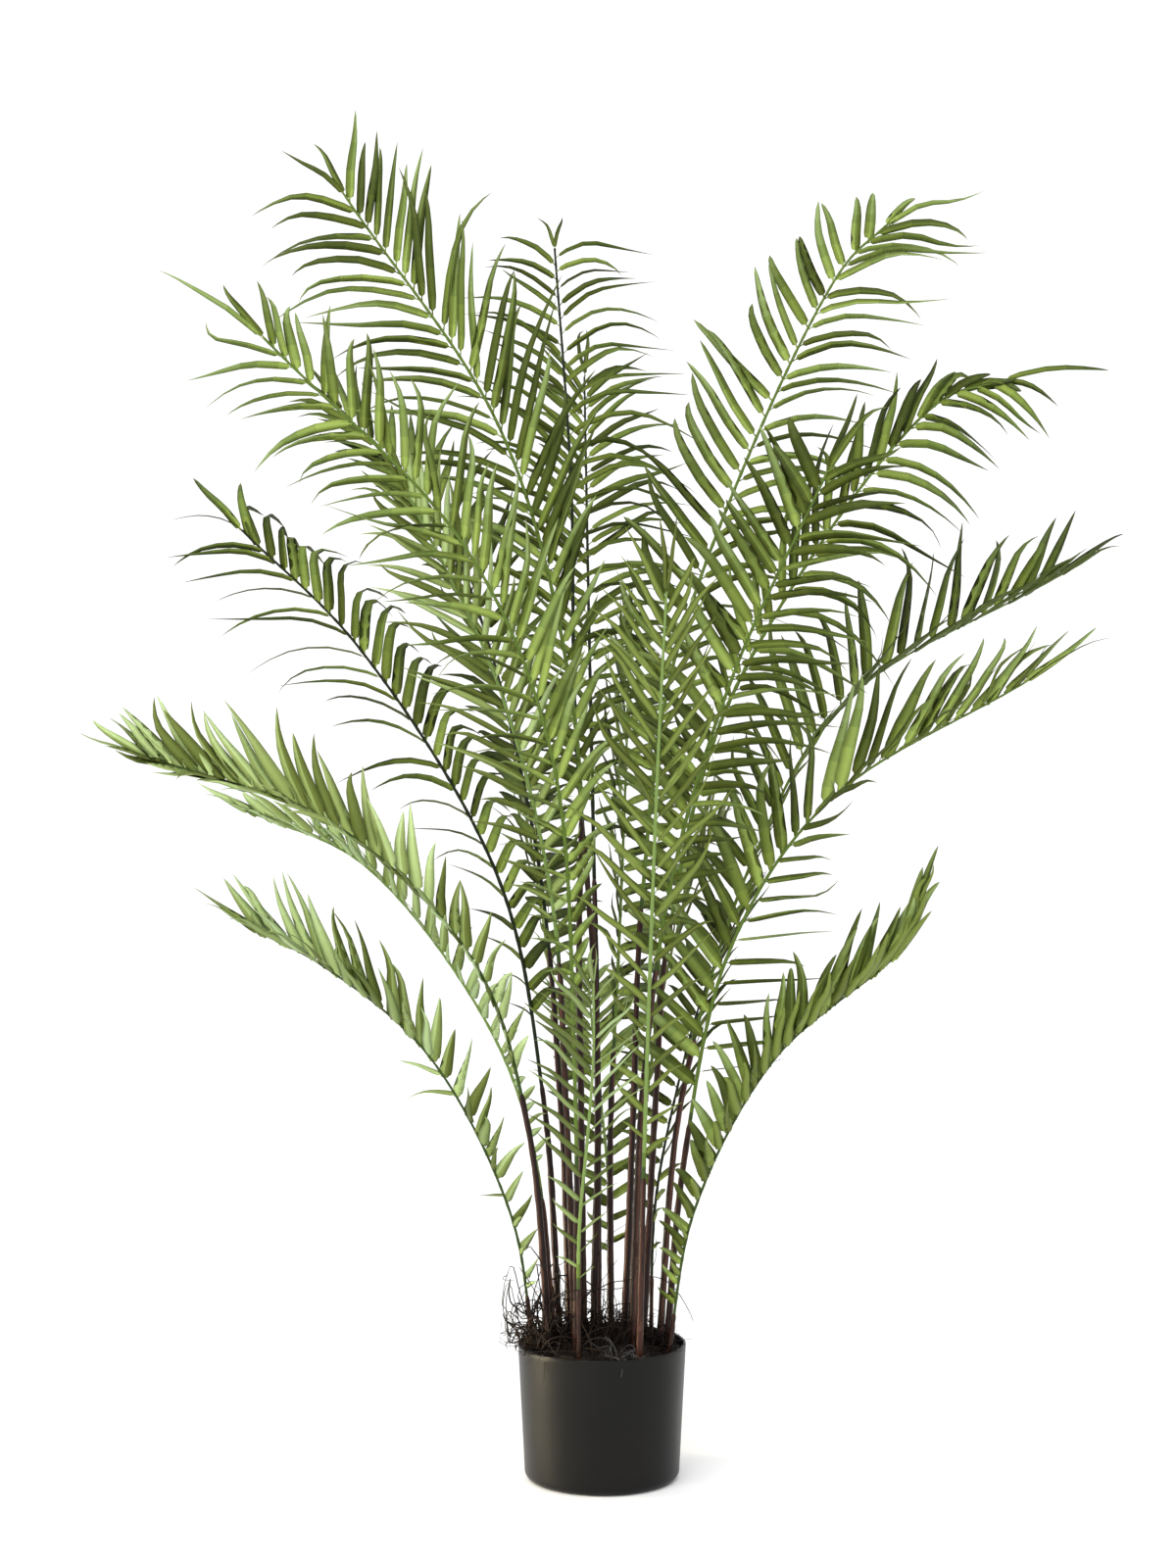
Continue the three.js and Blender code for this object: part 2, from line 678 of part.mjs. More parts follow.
/** A gap's corners with its lower edge raised, as the rows on both sides share that edge. */
function raised(corners) {
  const top = corners.filter(([, edge]) => edge !== 'keel');
  return corners.map(([place, edge], k) => {
    if (edge !== 'keel') return [place, edge];
    const above = k < 2 ? top[0][0] : top[1][0];
    return [place.clone().lerp(above, 0.5), edge];
  });
}

/** The first way in which a leaflet fits on its gap in the rib's side, or nothing. */
function fittingLeaf(spec, frame, side, v, nudge, places, room) {
  for (const change of CHANGES) {
    const leaf = leaflet(spec, frame, side, v, {
      splay: change.splay + nudge.splay,
      lift: change.lift + nudge.lift,
      length: change.length * nudge.length,
    });
    if (slimmest(leaf, places) < LEAF.slimmest) continue;
    const solid = leafSolid(leaf, raised(places));
    if (room.fits(solid, spec.name)) {
      room.add(solid, `${spec.name} leaflet`);
      return leaf;
    }
  }
  return null;
}

// Fronds.

/** Half the rib's width at a share of the blade's length. */
const ribWidth = (v, scale) => mix(RIB.footWidth, RIB.tipWidth, v) * scale;

/** The rib's cross section: left, bottom and right, going round it. */
function ribSection(frame, half) {
  return {
    left: frame.centre.clone().addScaledVector(frame.across, -half),
    bottom: frame.centre.clone().addScaledVector(frame.out, -half * RIB.depth),
    right: frame.centre.clone().addScaledVector(frame.across, half),
  };
}

/** The bare rib as a solid, so that leaflets of other fronds keep clear of it. */
function ribSolid(line, from, scale) {
  const shell = new Shell();
  const count = Math.ceil((line.length * (1 - from)) / 30);
  const rings = [];
  for (let i = 0; i <= count; i++) {
    const frame = frameAt(line, mix(from, 1, i / count));
    const section = ribSection(frame, ribWidth(i / count, scale));
    rings.push([section.left, section.bottom, section.right].map((p) => shell.point(p)));
  }
  for (let i = 0; i < count; i++) {
    for (let k = 0; k < 3; k++) {
      const next = (k + 1) % 3;
      shell.quad(rings[i][next], rings[i][k], rings[i + 1][k], rings[i + 1][next]);
    }
  }
  shell.face(rings[0][0], rings[0][1], rings[0][2]);
  shell.face(rings[count][0], rings[count][2], rings[count][1]);
  return outward(shell).solid();
}

/** The leaflet that ends the rib, as long as there is room for, or nothing. */
function endLeaf(spec, frame, places, room) {
  const rows = [spec.left, spec.right].map((row) => ({ ...USUAL, ...row }));
  const longest = Math.max(...rows.map((row) => row.leaf * row.end));
  for (const share of [0.9, 0.7, 0.5]) {
    const length = longest * share;
    const leaf = {
      line: leafLine(frame.centre, frame.along, length, UP.clone().multiplyScalar(-0.1), NONE),
      back: frame.across.clone().multiplyScalar(-1),
      under: frame.out.clone().multiplyScalar(-1),
      width: Math.min(spec.width ?? LEAF.width * 0.8, length * 0.2),
      keel: spec.keel ?? LEAF.keel,
    };
    if (slimmest(leaf, places) < LEAF.slimmest) continue;
    const solid = leafSolid(leaf, places);
    if (room.fits(solid, spec.name)) {
      room.add(solid, `${spec.name} leaflet`);
      return leaf;
    }
  }
  return null;
}

/** The gap between two cross sections on one side, each corner with the edge it leads to. */
function sideCorners(a, b, side) {
  return side > 0
    ? [[a.right, 'rear'], [a.bottom, 'keel'], [b.bottom, 'keel'], [b.right, 'fore']]
    : [[a.bottom, 'keel'], [a.left, 'rear'], [b.left, 'fore'], [b.bottom, 'keel']];
}

/** The corners of the rib's open end, in the same way. */
function endCorners(section) {
  return [[section.left, 'rear'], [section.right, 'fore'], [section.bottom, 'keel']];
}

/** Small seeded differences, so that no two leaflets are quite alike. */
function nudged(random) {
  return {
    splay: 60 * LEAF.jitter * random(),
    lift: 70 * LEAF.jitter * random(),
    length: 1 + LEAF.jitter * random(),
  };
}

/** A whole blade: the three-sided rib, its two rows of leaflets and the one at its end. */
function frondShell(spec, line, from, leafy, room) {
  const scale = spec.scale ?? 1;
  const { length } = line;
  const random = seeded(spec.seed);
  const start = leafy * length;
  const spacing = spec.spacing ?? LEAF.spacing;
  const pairs = Math.round((length - start) / (spacing * (1 + 0.4 * spec.opening)));
  const base = Math.min(LEAF.base, spacing * 0.5);
  const stations = [];
  const bare = Math.max(1, Math.round((start - from * length) / RIB.step));
  for (let i = 0; i < bare; i++) {
    stations.push({ at: mix(from * length, start, i / bare) });
  }
  for (let i = 0; i < pairs; i++) {
    const reached = i / pairs;
    const at = start + (length - start - base) * reached * (1 + spec.opening * (1 - reached));
    const v = i / Math.max(pairs - 1, 1);
    stations.push({ at, pair: v });
    stations.push({ at: at + base * mix(1, 0.6, v) });
  }
  stations.push({ at: length });

  const shell = new Shell();
  const sections = stations.map(({ at }) => {
    const frame = frameAt(line, Math.min(at / length, 1));
    const v = (at / length - from) / (1 - from);
    return ribSection(frame, ribWidth(v, scale));
  });
  const rings = sections.map((section) => ({
    left: shell.point(section.left),
    bottom: shell.point(section.bottom),
    right: shell.point(section.right),
  }));
  shell.face(rings[0].left, rings[0].bottom, rings[0].right);
  for (let i = 0; i < rings.length - 1; i++) {
    shell.quad(rings[i].left, rings[i].right, rings[i + 1].right, rings[i + 1].left);
    for (const side of [1, -1]) {
      const corners = sideCorners(rings[i], rings[i + 1], side);
      const leaf = stations[i].pair === undefined ? null : fittingLeaf(
        spec,
        frameAt(line, (stations[i].at + stations[i + 1].at) / 2 / length),
        side,
        stations[i].pair,
        nudged(random),
        sideCorners(sections[i], sections[i + 1], side),
        room,
      );
      if (leaf) {
        growLeaf(shell, corners, leaf);
      } else {
        shell.quad(...corners.map(([corner]) => corner));
      }
    }
  }

  const last = rings.length - 1;
  const leaf = endLeaf(spec, frameAt(line, 1), endCorners(sections[last]), room);
  if (leaf) {
    growLeaf(shell, endCorners(rings[last]), leaf);
  } else {
    shell.face(rings[last].left, rings[last].right, rings[last].bottom);
  }
  return shell;
}

// The plant.

const plant = new THREE.Group();
plant.name = 'potted_palm';

function addMesh(name, geometry, colour, roughness) {
  const mesh = new THREE.Mesh(geometry, material(colour, roughness));
  mesh.name = name;
  plant.add(mesh);
}

const pot = potGeometry();
const fill = fillGeometry();
addMesh('pot', pot, COLOURS.pot, 0.5);
addMesh('fill', fill, COLOURS.fill, 0.95);

const room = new Room();
room.add(turnedSolid(pot), 'pot');
room.add(turnedSolid(fill), 'fill');

// Every stem and bare rib is put in place before any leaflet grows.
const grown = FRONDS.map((frond, index) => {
  const size = frond.thin ? WIRE : STEM;
  const line = ribLine(frond, size.footRadius, 0);
  const from = frond.stem + SEAT / line.length;
  const spec = { ...USUAL, ...frond, width: undefined, seed: 101 + 37 * index };
  spec.scale = frond.thin ? 0.85 : 1;
  const stem = stemShell(line, frond.stem, size);
  room.add(stem.solid(), `${frond.name} stem`);
  room.add(ribSolid(line, from, spec.scale), frond.name);
  return { spec, line, from, stem };
});

for (const { spec, line, from, stem } of grown) {
  addMesh(`stem_${spec.name}`, stem.geometry(), COLOURS.stem, 0.45);
  const shell = frondShell(spec, line, from, spec.leafy, room);
  addMesh(`frond_${spec.name}`, shell.geometry(), COLOURS[spec.tone], 0.5);
}

TUFTS.forEach((tuft, index) => {
  const strands = { seed: 7 + index, spacing: 13, width: 4.5, keel: 2.6, scale: 1 };
  const spec = { ...USUAL, ...tuft, ...strands };
  const shell = frondShell(spec, ribLine(tuft, 2, 2.8), 0, 0.02, room);
  addMesh(tuft.name, shell.geometry(), COLOURS.fibre, 0.9);
});

export default plant;
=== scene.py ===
"""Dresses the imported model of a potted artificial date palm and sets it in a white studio.

Blender 4.5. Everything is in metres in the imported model's frame: +Z is up, -Y is the front, and
the origin is the centre of the pot's flat underside. Sizes that a maker would measure on the
plant are written in millimetres and turned into metres by MM.
"""

import logging
import math
from collections.abc import Iterable
from dataclasses import dataclass
from enum import Enum

import bpy
import numpy as np
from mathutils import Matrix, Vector


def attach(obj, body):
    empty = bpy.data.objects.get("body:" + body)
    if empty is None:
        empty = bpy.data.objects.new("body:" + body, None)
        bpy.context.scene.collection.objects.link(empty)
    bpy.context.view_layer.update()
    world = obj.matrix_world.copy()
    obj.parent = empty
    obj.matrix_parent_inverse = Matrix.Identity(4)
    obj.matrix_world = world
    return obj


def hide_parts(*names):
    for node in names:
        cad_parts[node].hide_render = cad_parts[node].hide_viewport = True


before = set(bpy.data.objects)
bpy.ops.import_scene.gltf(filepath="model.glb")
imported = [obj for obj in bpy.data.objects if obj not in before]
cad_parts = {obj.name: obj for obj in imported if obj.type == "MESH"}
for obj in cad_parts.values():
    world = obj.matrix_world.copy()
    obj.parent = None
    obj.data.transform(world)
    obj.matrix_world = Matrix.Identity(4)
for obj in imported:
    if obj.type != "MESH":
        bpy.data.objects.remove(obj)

log = logging.getLogger("palm")

Array = np.ndarray
Colour = tuple[float, float, float]
Place = tuple[float, float, float]
MM = 0.001
CM_PER_MM = 0.1
CM_PER_M = 100
FLAT_RADIUS = 9.0  # Centimetres across the flattened surface of the pot and fill per radian.
UP = np.array([0.0, 0.0, 1.0])
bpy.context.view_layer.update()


def mix(a: float | Array, b: float | Array, share: float | Array) -> float | Array:
    """The value at a share of the way from a to b."""
    return a + (b - a) * share


def unit(vectors: Array) -> Array:
    """The vectors along the last axis, made one long."""
    return vectors / np.linalg.norm(vectors, axis=-1, keepdims=True)


def dot(a: Array, b: Array) -> Array:
    """The dot products along the last axis, which is kept with length one."""
    return np.sum(a * b, axis=-1, keepdims=True)


def turns(sides: int) -> Array:
    """Angles of the corners of a ring, with the first one again at the end."""
    return np.arange(sides + 1) * 2 * math.pi / sides


def waves(points: Array, size: float, seed: int, count: int = 7) -> Array:
    """Smooth seeded unevenness: a mean of sines along random directions.

    Their wavelengths lie between 0.6 and 1.6 times the size.

    Args:
        points: Places, with their coordinates along the last axis.
        size: Typical distance between two crests, in the points' own unit.
        seed: Number that fixes the directions and phases.
        count: How many sines are added.

    Returns:
        One value from about -1 to 1 for each place.
    """
    random = np.random.default_rng(seed)
    directions = unit(random.normal(size=(count, points.shape[-1])))
    lengths = size * random.uniform(0.6, 1.6, count)
    phases = random.uniform(0, 2 * math.pi, count)
    angles = points @ (directions * (2 * math.pi / lengths[:, None])).T + phases
    return np.sin(angles).sum(axis=-1) * math.sqrt(2 / count) * 0.7


# Meshes.


@dataclass
class Skin:
    """Closed surfaces as arrays: corners, faces of up to four corners, and what goes with them.

    Attributes:
        points: Corner places, N by 3.
        faces: Corner numbers, M by 4, with -1 for the missing fourth of a triangle.
        plan: Each face corner's place on the flattened surface, M by 4 by 2, in centimetres.
        finish: Number of each face's finish, M.
    """

    points: Array
    faces: Array
    plan: Array
    finish: Array

    @staticmethod
    def joined(skins: Iterable["Skin"]) -> "Skin":
        """All the surfaces in one, each keeping its own corners.

        Args:
            skins: The surfaces.

        Returns:
            One skin.
        """
        parts = list(skins)
        starts = np.cumsum([0] + [len(part.points) for part in parts[:-1]])
        faces = [np.where(part.faces < 0, -1, part.faces + start)
                 for part, start in zip(parts, starts)]
        return Skin(
            np.concatenate([part.points for part in parts]),
            np.concatenate(faces),
            np.concatenate([part.plan for part in parts]),
            np.concatenate([part.finish for part in parts]),
        )

    @staticmethod
    def around(rings: Array, start: Array, end: Array, plan: Array, finish: Array) -> "Skin":
        """Surfaces through rings of points, closed by a fan at either end.

        Face i, k joins points k and k + 1 of rings i and i + 1. A shape whose volume comes out
        negative has its faces turned over, so that all of them look outwards.

        Args:
            rings: Ring points, shapes by rings by corners by 3.
            start: The point that closes the first ring, shapes by 3.
            end: The point that closes the last ring, shapes by 3.
            plan: Place on the flattened surface, shapes by rings by corners + 1 by 2.
            finish: Finish numbers of the faces between rings, shapes by rings - 1 by corners.

        Returns:
            The surfaces as one skin.
        """
        shapes, count, sides = rings.shape[:3]
        points = np.concatenate([rings.reshape(shapes, -1, 3), start[:, None], end[:, None]], 1)
        grid = np.arange(count * sides).reshape(count, sides)
        beside = np.roll(grid, -1, axis=1)
        first, last, none = (np.full(sides, k) for k in (count * sides, count * sides + 1, -1))
        walls = np.stack([grid[:-1], beside[:-1], beside[1:], grid[1:]], -1).reshape(-1, 4)
        head = np.stack([first, beside[0], grid[0], none], -1)
        tail = np.stack([last, grid[-1], beside[-1], none], -1)
        faces = np.concatenate([walls, head, tail])

        low, high = plan[:, :, :-1], plan[:, :, 1:]
        flat = np.stack([low[:, :-1], high[:, :-1], high[:, 1:], low[:, 1:]], -2)
        head_flat = np.stack([low[:, 0], high[:, 0], low[:, 0], low[:, 0]], -2)
        tail_flat = np.stack([low[:, -1], low[:, -1], high[:, -1], low[:, -1]], -2)
        flat = np.concatenate([flat.reshape(shapes, -1, 4, 2), head_flat, tail_flat], 1)
        finish = np.broadcast_to(finish, (shapes, count - 1, sides))
        numbers = np.concatenate([finish.reshape(shapes, -1), finish[:, 0], finish[:, -1]], 1)

        centred = points - points.mean(axis=1, keepdims=True)
        a, b, c, d = (centred[:, faces[:, k]] for k in range(4))
        volume = dot(a, np.cross(b, c))[..., 0].sum(1)
        volume += dot(a, np.cross(c, d))[:, :len(walls), 0].sum(1)
        order = np.where(faces[:, 3:] < 0, (0, 2, 1, 3), (0, 3, 2, 1))
        order = np.where(volume[:, None, None] < 0, order, np.arange(4))
        flat = np.take_along_axis(flat, order[..., None], -2)
        faces = np.take_along_axis(np.broadcast_to(faces, order.shape), order, -1)
        offset = np.arange(shapes)[:, None, None] * points.shape[1]
        faces = np.where(faces < 0, -1, faces + offset)
        return Skin(points.reshape(-1, 3), faces.reshape(-1, 4), flat.reshape(-1, 4, 2),
                    numbers.reshape(-1))

    def build(self, name: str, finishes: list[bpy.types.Material], slot: str,
              nodes: Iterable[str]) -> None:
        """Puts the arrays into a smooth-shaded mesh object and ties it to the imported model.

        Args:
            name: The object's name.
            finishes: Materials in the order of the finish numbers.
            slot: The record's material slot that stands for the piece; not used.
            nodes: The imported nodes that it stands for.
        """
        present = self.faces >= 0
        totals = present.sum(axis=1)
        mesh = bpy.data.meshes.new(name)
        mesh.vertices.add(len(self.points))
        mesh.loops.add(int(totals.sum()))
        mesh.polygons.add(len(totals))
        for store, key, values in (
            (mesh.vertices, "co", self.points.astype(np.float32)),
            (mesh.loops, "vertex_index", self.faces[present].astype(np.int32)),
            (mesh.polygons, "loop_start", (np.cumsum(totals) - totals).astype(np.int32)),
            (mesh.polygons, "use_smooth", np.ones(len(totals), bool)),
            (mesh.polygons, "material_index", self.finish.astype(np.int32)),
        ):
            store.foreach_set(key, values.ravel())
        mesh.update(calc_edges=True)
        layer = mesh.uv_layers.new(name="Plan")
        layer.data.foreach_set("uv", self.plan[present].astype(np.float32).ravel())
        mesh.validate()
        for finish in finishes:
            mesh.materials.append(finish)
        piece = linked(name, mesh)
        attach(piece, "root")
        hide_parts(*nodes)
        mesh.calc_loop_triangles()
        log.info("%s: %d triangles", piece.name, len(mesh.loop_triangles))


def linked(name: str, data: bpy.types.ID) -> bpy.types.Object:
    """A new object in the scene's main collection.

    Args:
        name: The object's name.
        data: Its mesh, light or camera.

    Returns:
        The object, at the origin.
    """
    piece = bpy.data.objects.new(name, data)
    bpy.context.scene.collection.objects.link(piece)
    return piece


def turned(profile: Array, segments: int, rise: float | Array = 0.0) -> Skin:
    """A shape turned about the Z axis from a profile.

    The corner at an angle is (radius * cos(angle), radius * sin(angle), height + rise).

    Args:
        profile: Radii and heights in millimetres, N by 2, from the lower pole to the upper
            or inner one; the first and last points lie on the axis.
        segments: Number of segments round the axis.
        rise: Heights in millimetres that are added, N - 2 by segments.

    Returns:
        The closed surface.
    """
    angle = turns(segments)
    ring = profile[1:-1]
    around = np.stack([np.cos(angle[:-1]), np.sin(angle[:-1])], -1)
    level = ring[:, :1, None] * around
    height = np.broadcast_to(ring[:, 1:] + rise, level.shape[:2])
    rings = np.concatenate([level, height[..., None]], -1)[None] * MM
    start, end = (np.array([[0.0, 0.0, profile[k, 1] * MM]]) for k in (0, -1))
    steps = np.linalg.norm(np.diff(ring, axis=0, prepend=ring[:1]), axis=1)
    across = np.broadcast_to(angle * FLAT_RADIUS, (len(ring), segments + 1))
    along = np.broadcast_to(np.cumsum(steps)[:, None] * CM_PER_MM, across.shape)
    numbers = np.zeros((1, len(ring) - 1, segments))
    return Skin.around(rings, start, end, np.stack([across, along], -1)[None], numbers)


@dataclass(frozen=True)
class Frames:
    """Places along a rib with the directions of its blade there, N by 3 each."""

    centre: Array
    along: Array
    out: Array
    across: Array

    def tube(self, radius: Array, depth: float, across: Array, along: Array,
             numbers: Array) -> Skin:
        """A closed tube round the places.

        The corner at an angle is centre + radius * (cos(angle) * across + depth * sin(angle)
        * out).

        Args:
            radius: Radii in metres, N by 1 or N by corners + 1.
            depth: Depth as a share of the width.
            across: The corners' places round the flattened surface in centimetres, corners + 1.
            along: The rings' places along it, N by 1.
            numbers: Finish numbers of the faces, 1 by N - 1 by corners.

        Returns:
            The tube.
        """
        angle = turns(len(across) - 1)
        wide = np.cos(angle)[None, :, None] * self.across[:, None]
        deep = np.sin(angle)[None, :, None] * self.out[:, None] * depth
        rings = self.centre[:, None] + radius[..., None] * (wide + deep)
        plan = np.stack(np.broadcast_arrays(across[None], along), -1)[None]
        return Skin.around(rings[None, :, :-1], self.centre[:1], self.centre[-1:], plan, numbers)


# Shader nodes.


class Value:
    """A number or colour socket, so that shader maths reads as an expression."""

    def __init__(self, nodes: "Nodes", socket: bpy.types.NodeSocket) -> None:
        """Keeps the socket and the node tree it belongs to."""
        self.nodes = nodes
        self.socket = socket

    def _math(self, operation: str, first: "Value | float", second: "Value | float") -> "Value":
        """One Math node."""
        return self.nodes.add("Math", 0, {0: first, 1: second}, operation=operation)

    def __add__(self, other: "Value | float") -> "Value":
        """Sum."""
        return self._math("ADD", self, other)

    def __radd__(self, other: float) -> "Value":
        """Sum with a number on the left."""
        return self._math("ADD", other, self)

    def __sub__(self, other: "Value | float") -> "Value":
        """Difference."""
        return self._math("SUBTRACT", self, other)

    def __rsub__(self, other: float) -> "Value":
        """Difference from a number on the left."""
        return self._math("SUBTRACT", other, self)

    def __mul__(self, other: "Value | float") -> "Value":
        """Product."""
        return self._math("MULTIPLY", self, other)

    def __rmul__(self, other: float) -> "Value":
        """Product with a number on the left."""
        return self._math("MULTIPLY", other, self)


class Nodes:
    """The nodes of one material, round its Principled shader."""

    def __init__(self, name: str) -> None:
        """Makes the material and finds its shader.

        Args:
            name: The material's name.
        """
        self.material = bpy.data.materials.new(name)
        self.material.use_nodes = True
        self.tree = self.material.node_tree
        self.shader = self.tree.nodes["Principled BSDF"]

    def feed(self, node: bpy.types.Node, inputs: dict) -> None:
        """Sets a node's sockets.

        Args:
            node: The node.
            inputs: Numbers, colours, vectors or Values by socket name or number.
        """
        for name, given in inputs.items():
            if isinstance(given, Value):
                self.tree.links.new(given.socket, node.inputs[name])
            else:
                node.inputs[name].default_value = given

    def add(self, kind: str, output: str | int, inputs: dict, **settings: str) -> Value:
        """Adds one node.

        Args:
            kind: The node's type, after ShaderNode.
            output: Name or number of the output that is used.
            inputs: What its sockets get, as feed takes it.
            settings: The node's own settings, made before that.

        Returns:
            The output, ready for an expression.
        """
        node = self.tree.nodes.new(f"ShaderNode{kind}")
        for name, setting in settings.items():
            setattr(node, name, setting)
        self.feed(node, inputs)
        return Value(self, node.outputs[output])

    def plan(self, across: float, along: float) -> Value:
        """Places on the flattened surface in centimetres, scaled."""
        return self.scaled(self.add("UVMap", "UV", {}, uv_map="Plan"), (across, along, 1.0))

    def space(self, height: float = 1.0) -> Value:
        """Places in the object's own space in metres, scaled in height."""
        return self.scaled(self.add("TexCoord", "Object", {}), (1.0, 1.0, height))

    def scaled(self, vector: Value, scale: tuple[float, float, float]) -> Value:
        """A vector with its coordinates multiplied."""
        return self.add("Mapping", "Vector", {"Vector": vector, "Scale": scale})

    def noise(self, vector: Value, scale: float, detail: float, grit: float) -> Value:
        """Cloudy noise from 0 to 1."""
        inputs = {"Vector": vector, "Scale": scale, "Detail": detail, "Roughness": grit}
        return self.add("TexNoise", 0, inputs)

    def blended(self, share: Value, first: Colour, second: Colour) -> Value:
        """Two colours mixed by a share."""
        inputs = {"Factor": share, 6: (*first, 1.0), 7: (*second, 1.0)}
        return self.add("Mix", 2, inputs, data_type="RGBA")

    def bump(self, height: Value, strength: float, distance: float) -> Value:
        """A normal tilted by a height."""
        inputs = {"Height": height, "Strength": strength, "Distance": distance}
        return self.add("Bump", "Normal", inputs)


@dataclass(frozen=True)
class Layer:
    """One layer of cloudy noise in a finish.

    Attributes:
        scale: How fine the noise is.
        detail: Number of finer layers in it.
        grit: How strong those are.
        rough: How much it changes the roughness.
        relief: Its share of the relief.
        plan: Factors across and along the flattened surface, or none for noise in space.
        height: Factor on the height for noise in space; below 1 draws it out upwards.
        tints: True when it mixes the finish's two colours.
    """

    scale: float
    detail: float
    grit: float = 0.5
    rough: float = 0.0
    relief: float = 0.0
    plan: tuple[float, float] | None = None
    height: float = 1.0
    tints: bool = False

    def noise(self, nodes: Nodes) -> Value:
        """The layer's noise from 0 to 1."""
        place = nodes.plan(*self.plan) if self.plan else nodes.space(self.height)
        return nodes.noise(place, self.scale, self.detail, self.grit)


@dataclass(frozen=True)
class Finish:
    """A kind of surface that comes in several colours.

    Attributes:
        roughness: Its mean roughness.
        gloss: The shader's specular level.
        relief: Strength of the relief.
        depth: Depth of the relief in metres.
        layers: The noises in it.
        boost: Factor on the product of the noises that tint.
    """

    roughness: float
    gloss: float
    relief: float
    depth: float
    layers: tuple[Layer, ...]
    boost: float = 1.0

    def material(self, name: str, colour: Colour,
                 other: Colour | None = None) -> bpy.types.Material:
        """Builds a material.

        Its roughness is the mean plus rough * (noise - 0.5) for each layer, its relief is the
        sum of relief * noise, and the boosted product of the noises that tint leads from the
        colour to the other one.

        Args:
            name: The material's name.
            colour: Linear colour.
            other: Second linear colour, where noises tint.

        Returns:
            The material.
        """
        nodes = Nodes(name)
        rough, relief, share = self.roughness, 0.0, self.boost
        for layer in self.layers:
            noise = layer.noise(nodes)
            rough = rough + layer.rough * (noise - 0.5) if layer.rough else rough
            relief = relief + layer.relief * noise if layer.relief else relief
            share = share * noise if layer.tints else share
        nodes.feed(nodes.shader, {
            "Base Color": nodes.blended(share, colour, other) if other else (*colour, 1.0),
            "Roughness": rough,
            "Specular IOR Level": self.gloss,
        })
        if relief:
            normal = nodes.bump(relief, self.relief, self.depth)
            nodes.feed(nodes.shader, {"Normal": normal})
        return nodes.material


# Printed cloth, with lengthwise veins in sheen and relief and a fine weave.
CLOTH = Finish(roughness=0.56, gloss=0.22, relief=0.45, depth=0.0006, layers=(
    Layer(1.0, 2.0, 0.6, rough=0.3, relief=0.8, plan=(9.0, 0.5)),
    Layer(1400.0, 1.0, relief=0.2)))
# Plastic coat of a rib, with lengthwise drawing marks.
COAT = Finish(roughness=0.46, gloss=0.15, relief=0.3, depth=0.0006, layers=(
    Layer(1.0, 3.0, 0.6, rough=0.25, relief=1.0, plan=(9.0, 0.6)),))
# Brown plastic tube, drawn lengthwise, with worn patches.
TUBE = Finish(roughness=0.36, gloss=0.2, relief=0.3, depth=0.0008, layers=(
    Layer(1.0, 4.0, 0.6, rough=0.25, relief=0.7, plan=(7.0, 0.25)),
    Layer(60.0, 3.0, rough=0.25, relief=0.3, height=0.4)))
# Dry root-like fibre, matt and grained.
STRAND = Finish(roughness=0.7, gloss=0.12, relief=0.4, depth=0.0004, layers=(
    Layer(700.0, 3.0, rough=0.3, relief=1.0),))
# Moulded satin plastic, a little lighter and duller where hands have rubbed it.
PLASTIC = Finish(roughness=0.36, gloss=0.15, relief=0.12, depth=0.0003, layers=(
    Layer(14.0, 4.0, 0.6, rough=0.14, tints=True), Layer(1600.0, 2.0, relief=0.6),
    Layer(220.0, 3.0, 0.7, rough=0.1, relief=0.4, height=0.15)))
# Crumbly planting fill, with crumbs of two sizes.
CRUMBS = Finish(roughness=0.85, gloss=0.25, relief=0.9, depth=0.002, boost=2.0, layers=(
    Layer(260.0, 6.0, 0.7, rough=0.2, relief=1.0, tints=True),
    Layer(70.0, 4.0, 0.6, tints=True)))
# White studio floor.
PAPER = Finish(roughness=0.8, gloss=0.5, relief=0.0, depth=0.0, layers=(
    Layer(3.0, 2.0, rough=0.1),))


# Fronds.


class Tone(Enum):
    """How light a frond's leaflets are drawn, partly the cloth's own tone and partly painted light
    and shade; the value names its slot in the record.
    """

    PALE = "frond_pale"
    MID = "frond_mid"
    DARK = "frond_dark"


class Wire(Enum):
    """The colours of the ribs' coat, from light to dark; the value is the finish number."""

    LIGHT = 0
    GREEN = 1
    DARK = 2
    BLACK = 3


@dataclass(frozen=True)
class Row:
    """One row of leaflets, angles in degrees and length in millimetres.

    Attributes:
        splay: Angle to the rib at the blade's foot and at its tip.
        lift: How far it is raised from flat to the blade's face, at the foot and at the tip.
        leaf: The longest leaflet.
        droop: How far a level leaflet bends down, as a share of its length.
        twist: How far the leaflets are turned about their own length.
        width: Factor on their width.
        fade: How much shorter the leaflets get at the tip.
        sweep: How far they curve away from the rib, as a share of their length.
        arch: How far their outer half folds over backwards, in the same way.
        fin: How much of their cut is a fin, broad at the root, rather than a ribbon.
        end: Length of the one that goes on from the rib's tip, as a share of leaf.
        gather: How much of the splay is lost over the last leaflets.
        dye: Steps of painted light and shade by which they are darker (below 0) or lighter than the
            tone.
        strays: Share of them that have come down on the other side.
        short: Length at the blade's foot, as a share of leaf, where it isn't the frond's.
        spacing: Factor on their distance along the rib.
        blunt: How much of their width they keep up to the tip, 0 for a fine point.
    """

    splay: tuple[float, float]
    lift: tuple[float, float]
    leaf: float
    droop: float
    twist: float = 0.0
    width: float = 1.0
    fade: float = 0.3
    sweep: float = -0.03
    arch: float = 0.0
    fin: float = 0.0
    end: float = 0.8
    gather: float = 0.3
    dye: int = 0
    strays: float = 0.0
    short: float | None = None
    spacing: float = 1.0
    blunt: float = 0.15


